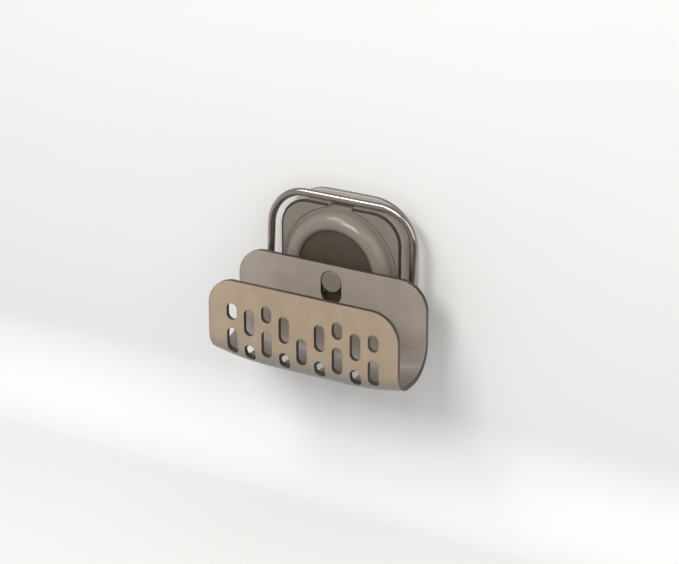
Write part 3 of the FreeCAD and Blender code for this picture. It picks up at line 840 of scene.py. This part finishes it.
crest_y = back_y + HANG_GAP
recess_y = crest_y + RECESS_DEPTH
bead_height = frame_front - crest_y
foot_radius = CAP_RIM - CAP_LAND
crest_radius = foot_radius - bead_height
floor_radius = crest_radius - RECESS_DEPTH
cap = start_line("ringed_cap", 0, recess_y)
draw_to(cap, floor_radius, recess_y)
draw_arc(crest_radius, recess_y, math.pi / 2, INNER_STEPS)
draw_arc(crest_radius, frame_front, math.pi / 2, OUTER_STEPS)
draw_to(cap, CAP_RIM, frame_front)
draw_to(cap, CAP_RIM, rebate_floor)
draw_to(cap, foot_radius - CAP_WALL, rebate_floor)
draw_to(cap, foot_radius - CAP_WALL, frame_front)
draw_arc(crest_radius, frame_front, -math.pi / 2, OUTER_STEPS)
draw_to(cap, floor_radius + CAP_WALL, recess_y)
draw_to(cap, floor_radius + CAP_WALL, recess_y + CAP_WALL)
draw_to(cap, 0, recess_y + CAP_WALL)
turn_on_lathe(cap)
print("the cap reaches", round(min(vertex.co.y for vertex in cap.data.vertices), 5))

# %% Cut the wire's slots and soften the cap
CAP_SOFT = 0.00025

cut_wire_slots(cap, floor_radius, CAP_RIM, pivot.y - slot_half, rebate_floor + CUT_OVERRUN)
soften(cap, CAP_SOFT, segments=FINE_SEGMENTS)
report(cap)

# %% [markdown]
# The trough hangs on a key in the middle of the cap, a short neck with a wider round head. Two cylinders
# could be joined, but one whose front face is extruded and scaled out into the head has no inner faces.

# %% Hanger key
KEY_HEAD_DEPTH = 0.002
KEY_ROUND = 0.0005
KEY_SINK = 0.0004

key_front = back_y - TRAY_WALL
head_back = key_front + KEY_HEAD_DEPTH
neck_back = recess_y + KEY_SINK
neck_length = neck_back - head_back
bpy.ops.object.select_all(action="DESELECT")
bpy.ops.mesh.primitive_cylinder_add(vertices=ROUND_COUNT, radius=KEY_NECK, depth=neck_length,
                                    location=(0, neck_back - neck_length / 2, KEY_HEIGHT),
                                    rotation=(math.pi / 2, 0, 0))
key = new_piece("hanger_key")
pick(key, "FACE", lambda place: place.y < head_back + SEAM)
bpy.ops.mesh.extrude_region_move()
grow = KEY_HEAD / KEY_NECK
bpy.ops.transform.resize(value=(grow, 1, grow), center_override=(0, head_back, KEY_HEIGHT))
bpy.ops.mesh.extrude_region_move(TRANSFORM_OT_translate={"value": (0, -KEY_HEAD_DEPTH, 0)})
close_seams(key)
soften(key, KEY_ROUND)
report(key)

# %% [markdown]
# ## The suction pad
# The pad is one soft moulding, made here as two pieces that meet under the base plate. Its squarish rim lies
# on the wall and never moves. Its round middle is drawn away from the wall by the stud when the lever locks.
# The rim grows ring by ring like the frame, and the middle is turned like the cap.

# %% Pad rim
PAD_CORNER = 0.026
PAD_RIM = -0.0028
PAD_EDGE = 0.0008
PAD_HEM = 0.0003
SEAL_WIDTH = 0.006
RIM_INNER = 0.031
DOME_CROWN = 0.013
RELEASED_HOLLOW = 0.0005

pad_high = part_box("suction_cup")[1]
hollow_radius = pad_high.z - SEAL_WIDTH
hollow_depth = lever_travel + RELEASED_HOLLOW
dome_run = hollow_radius - DOME_CROWN
dome_radius = (dome_run ** 2 + hollow_depth ** 2) / (2 * hollow_depth)


def pad_outline(inset):
    """The pad's outline, drawn in by an inset."""
    return squarish(pad_high.x - inset, pad_high.z - inset, PAD_CORNER - inset)


def hollow_y(radius):
    """How far the pad's hollow face stands off the wall at a radius."""
    run = max(0, radius - DOME_CROWN)
    return min(0, dome_radius - hollow_depth - math.sqrt(dome_radius ** 2 - run ** 2))


mid_radius = (RIM_INNER + hollow_radius) / 2
rim = first_ring("pad_rim", circle(hollow_radius), 0)
next_ring(rim, pad_outline(PAD_HEM), 0)
next_ring(rim, pad_outline(0), -PAD_HEM)
for step in range(ROUND_STEPS + 1):
    turn = math.pi / 2 * step / ROUND_STEPS
    next_ring(rim, pad_outline(PAD_EDGE * (1 - math.cos(turn))), PAD_RIM + PAD_EDGE * (1 - math.sin(turn)))
next_ring(rim, circle(RIM_INNER), PAD_RIM)
next_ring(rim, circle(RIM_INNER), hollow_y(RIM_INNER))
next_ring(rim, circle(mid_radius), hollow_y(mid_radius))
next_ring(rim, circle(hollow_radius), 0)
close_seams(rim)
bpy.ops.object.shade_smooth_by_angle(angle=SMOOTH_ANGLE)
apply_modifier(rim, "WEIGHTED_NORMAL", keep_sharp=True)
report(rim)

# %% Pad middle
MEMBRANE = 0.002
MEMBRANE_EDGE = -0.0022
FRONT_FOOT = 0.029
DOME_STEPS = 12

front_crown = -hollow_depth - MEMBRANE


def front_y_at(radius):
    """The front face of the pad's middle, which follows the same dome as its hollow."""
    share = (radius - DOME_CROWN) / (FRONT_FOOT - DOME_CROWN)
    return front_crown + (PAD_RIM - front_crown) * share ** 2


middle = start_line("pad_middle", 0, -hollow_depth)
for step in range(DOME_STEPS + 1):
    radius = DOME_CROWN + (RIM_INNER - DOME_CROWN) * step / DOME_STEPS
    draw_to(middle, radius, hollow_y(radius))
draw_to(middle, RIM_INNER, MEMBRANE_EDGE)
for step in range(DOME_STEPS + 1):
    radius = FRONT_FOOT + (DOME_CROWN - FRONT_FOOT) * step / DOME_STEPS
    draw_to(middle, radius, front_y_at(radius))
draw_to(middle, 0, front_crown)
turn_on_lathe(middle)
bpy.ops.object.shade_smooth_by_angle(angle=SMOOTH_ANGLE)
report(middle)

# %% [markdown]
# ## Finishes
# A finish is written as a sum: a base, and what time and moulding add to it. One small class lets a shader
# socket take part in Python arithmetic, and one method adds any node with its settings and sockets.

# %% Shader sums
class Value:
    """A shader socket that takes part in sums, each of which adds a Math node."""

    def __init__(self, tree, socket):
        self.tree = tree
        self.socket = socket

    def combine(self, operation, first, second):
        """Adds a Math node on two values or numbers."""
        return self.tree.node("ShaderNodeMath", {"operation": operation}, {0: first, 1: second})

    def __add__(self, other):
        return self.combine("ADD", self, other)

    def __sub__(self, other):
        return self.combine("SUBTRACT", self, other)

    def __rsub__(self, other):
        return self.combine("SUBTRACT", other, self)

    def __mul__(self, other):
        return self.combine("MULTIPLY", self, other)

    __radd__ = __add__
    __rmul__ = __mul__


class Tree:
    """A node tree, and the one way to add a node to it."""

    def __init__(self, node_tree):
        self.nodes = node_tree.nodes
        self.links = node_tree.links

    def fill(self, node, sockets):
        """Links a node's sockets to values, or sets them to numbers and colours."""
        for name, value in sockets.items():
            if isinstance(value, Value):
                self.links.new(value.socket, node.inputs[name])
            else:
                node.inputs[name].default_value = value

    def node(self, kind, settings, sockets, output=0):
        """Adds a node, with its settings first and its sockets after them."""
        node = self.nodes.new(kind)
        for name, value in settings.items():
            setattr(node, name, value)
        self.fill(node, sockets)
        return Value(self, node.outputs[output])

    def axis(self, vector, name):
        """One of a vector's three numbers."""
        return self.node("ShaderNodeSeparateXYZ", {}, {"Vector": vector}, name)

    def ramp(self, value, low, high):
        """Runs from 0 to 1 as a value goes from low to high."""
        sockets = {"Value": value, "From Min": low, "From Max": high}
        return self.node("ShaderNodeMapRange", {"interpolation_type": "SMOOTHSTEP"}, sockets, "Result")


print("shader sums ready")

# %% [markdown]
# Every finish here needs the same few things: a cloudy pattern, a colour between two colours, and a fine
# relief. The patterns read a piece's own coordinates, so they stay on it when it moves.

# %% Patterns
MIX_FACTOR_INPUT = 0
MIX_FIRST_INPUT = 6
MIX_SECOND_INPUT = 7
MIX_COLOUR_OUTPUT = 2
BRIGHTEST = 255


class Finish(Tree):
    """One material with its shader, and the few patterns that the finishes share."""

    def __init__(self, name):
        self.material = bpy.data.materials.new(name)
        self.material.use_nodes = True
        super().__init__(self.material.node_tree)
        self.shader = self.nodes["Principled BSDF"]
        self.place = self.node("ShaderNodeTexCoord", {}, {}, "Object")

    def noise(self, size, detail):
        """A cloudy pattern from 0 to 1 with patches of about this size, in metres."""
        sockets = {"Vector": self.place, "Scale": 1 / size, "Detail": detail}
        return self.node("ShaderNodeTexNoise", {}, sockets, "Fac")

    def mix(self, share, first, second):
        """A colour between two colours."""
        sockets = {MIX_FACTOR_INPUT: share, MIX_FIRST_INPUT: colour(first), MIX_SECOND_INPUT: colour(second)}
        return self.node("ShaderNodeMix", {"data_type": "RGBA"}, sockets, MIX_COLOUR_OUTPUT)

    def bump(self, height, depth):
        """Turns a height pattern into a surface direction."""
        return self.node("ShaderNodeBump", {}, {"Height": height, "Distance": depth}, "Normal")

    def set(self, **sockets):
        """Fills the shader's sockets, named in plain words with underscores."""
        self.fill(self.shader, {name.replace("_", " "): value for name, value in sockets.items()})
        return self.material


def colour(value):
    """A colour written as red, green and blue from 0 to 255 becomes light values."""
    if isinstance(value, Value):
        return value
    return (*Color([part / BRIGHTEST for part in value]).from_srgb_to_scene_linear(), 1.0)


print("patterns ready")

# %% [markdown]
# The trough's plastic is smoky: a grey-brown that lets some light through, with faint clouds where the dye
# flowed and a satin skin from the mould. It is warmer on the front wall and greyer on the back wall, and
# where the floor bends under it is a darker grey, which is painted shade. Its rims are the same plastic seen
# edge on, so much darker. True smoke would be a volume, which can't be baked, so painted colours and a
# little transmission stand in for it.
#
# In these cells a pattern is given by the size of its patches and their detail, and a gloss by the least
# roughness and how far a pattern raises it.

# %% Smoky plastic
SMOKE_LIGHT = (200, 178, 152)
SMOKE_DARK = (178, 158, 134)
# Painted shade: a darker grey for where the floor bends under.
SMOKE_LOW_SHADE = (160, 154, 149)
SMOKE_BACK_LIGHT = (192, 180, 168)
SMOKE_BACK_DARK = (172, 161, 150)
LOW_SHADE_BAND = 0.02
SMOKE_CLOUDS = (0.009, 1.0)
SMOKE_SMEARS = (0.006, 1.0)
SMOKE_SKIN = (0.0006, 1.0)
SMOKE_RELIEF = 0.000004
SMOKE_CLEARNESS = 0.35
SMOKE_INDEX = 1.49
SATIN = (0.3, 0.08)


def shine(gloss, pattern):
    """A roughness that a pattern raises."""
    return gloss[0] + gloss[1] * pattern


def smoky_wall():
    """The trough's walls, whose colour changes from front to back, with painted shade towards the floor."""
    finish = Finish("smoky_wall")
    clouds = finish.noise(*SMOKE_CLOUDS)
    front = finish.mix(clouds, SMOKE_DARK, SMOKE_LIGHT)
    back = finish.mix(clouds, SMOKE_BACK_DARK, SMOKE_BACK_LIGHT)
    walls = finish.mix(finish.ramp(finish.axis(finish.place, "Y"), front_y, back_y), front, back)
    # The painted shade fades out over a band above the floor.
    out_of_low_shade = finish.ramp(finish.axis(finish.place, "Z"), floor_z, floor_z + LOW_SHADE_BAND)
    return finish.set(
        Base_Color=finish.mix(out_of_low_shade, SMOKE_LOW_SHADE, walls),
        Roughness=shine(SATIN, finish.noise(*SMOKE_SMEARS)),
        Normal=finish.bump(finish.noise(*SMOKE_SKIN), SMOKE_RELIEF),
        Transmission_Weight=SMOKE_CLEARNESS,
        IOR=SMOKE_INDEX,
    )


wall_finish = smoky_wall()
print("made", wall_finish.name)

# %% Grained finishes
RIM_LIGHT = (76, 65, 54)
RIM_DARK = (50, 42, 34)
RIM_CLOUDS = (0.008, 2.0)
RIM_GRAIN = (0.0006, 3.0)
RIM_RELIEF = 0.00001


def grained(name, light, dark, clouds, grain, relief, gloss, **sockets):
    """A finish whose colour drifts in clouds, and whose gloss and relief follow one fine grain."""
    finish = Finish(name)
    fine = finish.noise(*grain)
    return finish.set(
        Base_Color=finish.mix(finish.noise(*clouds), dark, light),
        Roughness=shine(gloss, fine),
        Normal=finish.bump(fine, relief),
        **sockets,
    )


rim_finish = grained("smoky_rim", RIM_LIGHT, RIM_DARK, RIM_CLOUDS, RIM_GRAIN, RIM_RELIEF, SATIN,
                     IOR=SMOKE_INDEX)
print("made", rim_finish.name)

# %% Dress the trough
def dress(piece, body, slot, replaced, *materials):
    """Puts finishes on a new piece and says what it rides on and stands for."""
    for place, material in enumerate(materials):
        if place < len(piece.data.materials):
            piece.data.materials[place] = material
        else:
            piece.data.materials.append(material)
    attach(piece, body)
    if replaced:
        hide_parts(replaced)


dress(trough, "tray", "tray_plastic", "tray", wall_finish, rim_finish)
dress(boss, "tray", "tray_plastic", None, wall_finish)
print("trough dressed")

# %% [markdown]
# The cover is the same family of plastic in a cooler grey, polished, so it shows soft highlights. Its side
# walls are paler, as painted light, its front edge gathers into a dark matte line, and the cap's sunken
# middle is darker, as painted shade. Masks could blend these tones, but their borders
# are crisp, so each tone is a finish of its own and goes on faces by their place and direction.

# %% Cover plastic
COVER_LIGHT = (164, 153, 142)
COVER_DARK = (146, 136, 126)
# Painted light: a paler copy of the cover's colour for its side walls.
LIT_SIDE_LIGHT = (200, 187, 173)
LIT_SIDE_DARK = (182, 170, 157)
COVER_EDGE_LIGHT = (70, 64, 58)
COVER_EDGE_DARK = (52, 47, 42)
# Painted shade: a darker copy of the cover's colour for the cap's sunken middle.
RECESS_SHADE_LIGHT = (104, 93, 82)
RECESS_SHADE_DARK = (86, 76, 66)
COVER_CLOUDS = (0.02, 2.0)
COVER_SMEARS = (0.005, 2.0)
COVER_SKIN = (0.0005, 1.0)
COVER_RELIEF = 0.000003
COVER_CLEARNESS = 0.4
POLISHED = (0.18, 0.08)
MATTE = (0.5, 0.08)
FULL_GLINT = 0.5
WEAK_GLINT = 0.2


def smoky_cover(name, light, dark, gloss=POLISHED, glint=FULL_GLINT):
    """The cover's plastic, with smears in its polish."""
    finish = Finish(name)
    return finish.set(
        Base_Color=finish.mix(finish.noise(*COVER_CLOUDS), dark, light),
        Roughness=shine(gloss, finish.noise(*COVER_SMEARS)),
        Normal=finish.bump(finish.noise(*COVER_SKIN), COVER_RELIEF),
        Transmission_Weight=COVER_CLEARNESS,
        Specular_IOR_Level=glint,
        IOR=SMOKE_INDEX,
    )


cover_finish = smoky_cover("smoky_cover", COVER_LIGHT, COVER_DARK)
edge_finish = smoky_cover("smoky_cover_edge", COVER_EDGE_LIGHT, COVER_EDGE_DARK, MATTE, WEAK_GLINT)
lit_side_finish = smoky_cover("smoky_cover_lit_side", LIT_SIDE_LIGHT, LIT_SIDE_DARK)
recess_shade_finish = smoky_cover("smoky_recess_shade", RECESS_SHADE_LIGHT, RECESS_SHADE_DARK)
print("made", cover_finish.name, "in four tones")

# %% Dress the cover, the cap and the key
SIDE_STEEPNESS = 0.5
EDGE_FINISH = 1
LIT_SIDE_FINISH = 2


def from_middle(face):
    """How far a face lies from the unit's middle line."""
    return math.hypot(face.center.x, face.center.z)


def faces_sideways(face):
    """Whether a face looks more to the side than to the front or back."""
    return abs(face.normal.y) < SIDE_STEEPNESS


dress(cover, "base", "cover_plastic", "cover_frame", cover_finish, edge_finish, lit_side_finish)
# The front edge gets the dark edge finish, and sideways faces get the paler copy, which is painted light.
for face in cover.data.polygons:
    line_place = band_line(math.atan2(face.center.z, face.center.x))
    if from_middle(face) > math.hypot(*line_place) and face.center.y < frame_front + FRAME_EDGE:
        face.material_index = EDGE_FINISH
    elif faces_sideways(face):
        face.material_index = LIT_SIDE_FINISH
dress(cap, "base", "cover_plastic", "dome_cap", cover_finish, recess_shade_finish)
# The cap's sunken middle gets the darker copy, which is painted shade.
for face in cap.data.polygons:
    face.material_index = int(from_middle(face) < floor_radius + CAP_SOFT)
dress(key, "base", "cover_plastic", None, cover_finish)
print("cover, cap and key dressed")

# %% [markdown]
# The pad is paler and softer than the cover, with darker sides. It also darkens towards its thin middle, as
# painted shade of its hollow. That change has no border, so it follows the depth of the hollow.

# %% Pad plastic
PAD_LIGHT = (214, 208, 202)
PAD_DARK = (198, 192, 186)
PAD_SIDE_LIGHT = (146, 140, 135)
PAD_SIDE_DARK = (128, 122, 118)
# Painted shade: the colour towards the deep middle of the pad's hollow.
PAD_HOLLOW_SHADE = (160, 154, 149)
PAD_CLOUDS = (0.012, 2.0)
PAD_SKIN = (0.0007, 3.0)
PAD_RELIEF = 0.00002
PAD_GLOSS = (0.34, 0.14)
PAD_CLEARNESS = 0.35
PAD_INDEX = 1.43


def soft_pad(name, light, dark, hollow_shade=None):
    """The pad's soft plastic, with painted shade towards the bottom of its hollow."""
    finish = Finish(name)
    skin = finish.noise(*PAD_SKIN)
    body = finish.mix(finish.noise(*PAD_CLOUDS), dark, light)
    if hollow_shade:
        # Painted shade that darkens as the hollow gets deeper.
        shallow = finish.ramp(finish.axis(finish.place, "Y"), -hollow_depth, hollow_y(RIM_INNER))
        body = finish.mix(shallow, hollow_shade, body)
    return finish.set(
        Base_Color=body,
        Roughness=shine(PAD_GLOSS, skin),
        Normal=finish.bump(skin, PAD_RELIEF),
        Transmission_Weight=PAD_CLEARNESS,
        IOR=PAD_INDEX,
    )


pad_finish = soft_pad("soft_pad", PAD_LIGHT, PAD_DARK)
pad_side_finish = soft_pad("soft_pad_side", PAD_SIDE_LIGHT, PAD_SIDE_DARK)
pad_middle_finish = soft_pad("soft_pad_middle", PAD_LIGHT, PAD_DARK, PAD_HOLLOW_SHADE)
print("made", pad_finish.name, "in three tones")

dress(rim, "base", "pad_rubber", "suction_cup", pad_finish, pad_side_finish)
for face in rim.data.polygons:
    face.material_index = int(from_middle(face) > hollow_radius + PAD_EDGE and faces_sideways(face))
middle.data.materials.append(pad_middle_finish)
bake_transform(middle)
print("pad dressed")

# %% [markdown]
# The wire is drawn steel. A smooth mirror would look too new: drawing leaves a fine grain, and hands leave
# patches where the sheen is duller, so both patterns raise its roughness.

# %% Dress the wire
STEEL_LIGHT = (180, 171, 162)
STEEL_DARK = (158, 149, 140)
STEEL_PATCHES = (0.012, 2.0)
STEEL_GRAIN = (0.0006, 2.0)
STEEL_RELIEF = 0.000001
STEEL_GLOSS = (0.13, 0.05)
PATCH_ROUGHNESS = 0.06


def drawn_steel():
    """Bright wire with the uneven sheen of drawing and handling."""
    finish = Finish("drawn_steel")
    patches = finish.noise(*STEEL_PATCHES)
    grain = finish.noise(*STEEL_GRAIN)
    return finish.set(
        Base_Color=finish.mix(patches, STEEL_DARK, STEEL_LIGHT),
        Metallic=1.0,
        Roughness=shine(STEEL_GLOSS, grain) + PATCH_ROUGHNESS * patches,
        Normal=finish.bump(grain, STEEL_RELIEF),
    )


dress(wire, "lever", "steel_wire", "bail", drawn_steel())
print("wire dressed")

# %% [markdown]
# Inside the unit are the base plate, the stud and the cams. Little of them shows, so softer edges would be
# wasted and they keep the solids' own meshes. But each can be looked at alone, so they get true finishes.

# %% Inner finishes
SKIN_CLOUDS = (0.006, 2.0)
SKIN_GRAIN = (0.0005, 4.0)
SKIN_RELIEF = 0.00002
SKIN_SPREAD = 0.14
TURNED_PATCHES = (0.002, 3.0)
TURNED_GRAIN = (0.0002, 3.0)
TURNED_RELIEF = 0.000004
TURNED_SPREAD = 0.16
# Each finish: its light colour, its dark colour, its least roughness and the pieces that have it
INNER_PLASTICS = {
    "base_skin": ((128, 123, 121), (112, 107, 106), 0.36, ["base_plate"]),
    "slip_skin": ((226, 222, 212), (212, 207, 196), 0.34, ["pull_block"]),
    "cam_skin": ((62, 62, 66), (50, 50, 54), 0.42, ["cam_left", "cam_right"]),
}
INNER_METALS = {
    "bush_metal": ((214, 182, 112), (190, 156, 88), 0.22, ["stud_bush"]),
    "plated_steel": ((200, 200, 202), (176, 177, 180), 0.26,
                     ["cup_stud", "stud_washer", "stud_nut", "cam_pin_left", "cam_pin_right", "cap_screws"]),
}


def dress_inside(names, finish):
    """Gives a finish to solids that keep their own meshes."""
    for name in names:
        nodes[name].material_slots[0].material = finish
    print(finish.name, "on", ", ".join(names))


for name, (light, dark, rough, names) in INNER_PLASTICS.items():
    skin = grained(name, light, dark, SKIN_CLOUDS, SKIN_GRAIN, SKIN_RELIEF, (rough, SKIN_SPREAD))
    dress_inside(names, skin)
for name, (light, dark, rough, names) in INNER_METALS.items():
    metal = grained(name, light, dark, TURNED_PATCHES, TURNED_GRAIN, TURNED_RELIEF, (rough, TURNED_SPREAD),
                    Metallic=1.0)
    dress_inside(names, metal)

# %% [markdown]
# ## Stage and light
# The stage is a pale wall that curves into a pale floor, because a sharp corner would draw a line across the
# picture. One vertex is drawn down, spun round the bend and drawn forward, and that line is then drawn out
# sideways. Seen from behind the stage is clear, so that the pad's back can be looked at as well.

# %% Stage
STAGE_GAP = 0.0006
STAGE_FLOOR = -0.13
STAGE_BEND = 0.05
STAGE_HALF = 4.0
STAGE_BEND_STEPS = 16

bpy.ops.object.select_all(action="DESELECT")
bpy.ops.mesh.primitive_plane_add(location=(0, STAGE_GAP, STAGE_HALF))
stage = new_piece("stage")
bpy.ops.object.mode_set(mode="EDIT")
bpy.ops.mesh.select_all(action="SELECT")
bpy.ops.mesh.merge(type="CENTER")
bend_place = STAGE_FLOOR + STAGE_BEND
bpy.ops.mesh.extrude_region_move(TRANSFORM_OT_translate={"value": (0, 0, bend_place - STAGE_HALF)})
bpy.ops.mesh.spin(steps=STAGE_BEND_STEPS, angle=math.pi / 2, axis=(1, 0, 0),
                  center=(0, STAGE_GAP - STAGE_BEND, bend_place))
bpy.ops.mesh.extrude_region_move(TRANSFORM_OT_translate={"value": (0, -STAGE_HALF, 0)})
bpy.ops.mesh.select_all(action="SELECT")
bpy.ops.transform.translate(value=(-STAGE_HALF, 0, 0))
bpy.ops.mesh.extrude_region_move(TRANSFORM_OT_translate={"value": (2 * STAGE_HALF, 0, 0)})
bpy.ops.object.mode_set(mode="OBJECT")
bpy.ops.object.shade_smooth()
print("stage facing", tuple(round(value, 2) for value in stage.data.polygons[0].normal))

# %% Stage finish
STAGE_LIGHT = (232, 231, 229)
STAGE_DARK = (228, 227, 225)
STAGE_HAZE = (0.2, 2.0)
STAGE_ROUGH = 0.7

paint = Finish("stage_paint")
paint.set(Base_Color=paint.mix(paint.noise(*STAGE_HAZE), STAGE_DARK, STAGE_LIGHT), Roughness=STAGE_ROUGH)
behind = paint.node("ShaderNodeNewGeometry", {}, {}, "Backfacing")
clear = paint.node("ShaderNodeBsdfTransparent", {}, {})
painted = Value(paint, paint.shader.outputs[0])
one_sided = paint.node("ShaderNodeMixShader", {}, {0: behind, 1: painted, 2: clear})
paint.fill(paint.nodes["Material Output"], {"Surface": one_sided})
stage.data.materials.append(paint.material)
stage.visible_shadow = False
stage.visible_diffuse = False
stage.visible_glossy = False

# %% [markdown]
# The main lamp stands in front, high up. A weaker one further left brightens the wire from the side, and a
# broad one on the right fills the shadows. All are large squares, because a small lamp draws hard shadows.

# %% Lamps
LAMP_TARGET = Vector((0, -0.02, -0.01))
# Each lamp: its place, its size and its power in watts
LAMPS = {
    "main_lamp": ((-0.12, -0.95, 0.78), 0.45, 6.5),
    "left_lamp": ((-0.53, -0.5, 0.95), 0.45, 3.5),
    "side_lamp": ((0.75, -0.6, 0.55), 0.9, 3.6),
}

for name, (place, size, power) in LAMPS.items():
    bpy.ops.object.select_all(action="DESELECT")
    facing = (Vector(place) - LAMP_TARGET).to_track_quat("Z", "Y").to_euler()
    bpy.ops.object.light_add(type="AREA", location=place, rotation=facing)
    lamp = bpy.context.object
    lamp.name = name
    lamp.data.size = size
    lamp.data.energy = power
print(len(LAMPS), "lamps")

# %% [markdown]
# The world is a pale room. It lights the piece evenly, shows as a pale backdrop, and gives the bright metal
# something to mirror: paler walls, a duller ceiling and one dark side in front, on the right.

# %% World
WORLD_LIGHT = 0.55
BACKDROP = 0.84
SKY_GLOSS = 0.4
ROOM_GLOSS = 0.75
DARK_GLOSS = 0.16
OVERHEAD = (-0.1, 0.75)
DARK_SIDE = (0.25, 0.95)
DARK_TURN = math.radians(28.91)
RAYS = ("Is Camera Ray", "Is Glossy Ray", "Is Transmission Ray")
WHITE = (1.0, 1.0, 1.0, 1.0)

world = bpy.data.worlds.new("pale_room")
scene.world = world
world.use_nodes = True
room = Tree(world.node_tree)
looked_at, glossy, through = [room.node("ShaderNodeLightPath", {}, {}, ray) for ray in RAYS]
direction = room.node("ShaderNodeTexCoord", {}, {}, "Generated")
overhead = room.ramp(room.axis(direction, "Z"), *OVERHEAD)
ahead = math.sin(DARK_TURN) * room.axis(direction, "X") - math.cos(DARK_TURN) * room.axis(direction, "Y")
around = ROOM_GLOSS + (DARK_GLOSS - ROOM_GLOSS) * room.ramp(ahead, *DARK_SIDE)
gloss = around + (SKY_GLOSS - around) * overhead
mirrored = glossy * (1 - through)
plain = (1 - looked_at) * (1 - mirrored) * (1 - through)
strength = WORLD_LIGHT * plain + gloss * mirrored + BACKDROP * (1 - plain - mirrored)
room.fill(room.nodes["Background"], {"Color": WHITE, "Strength": strength})
print("world ready")
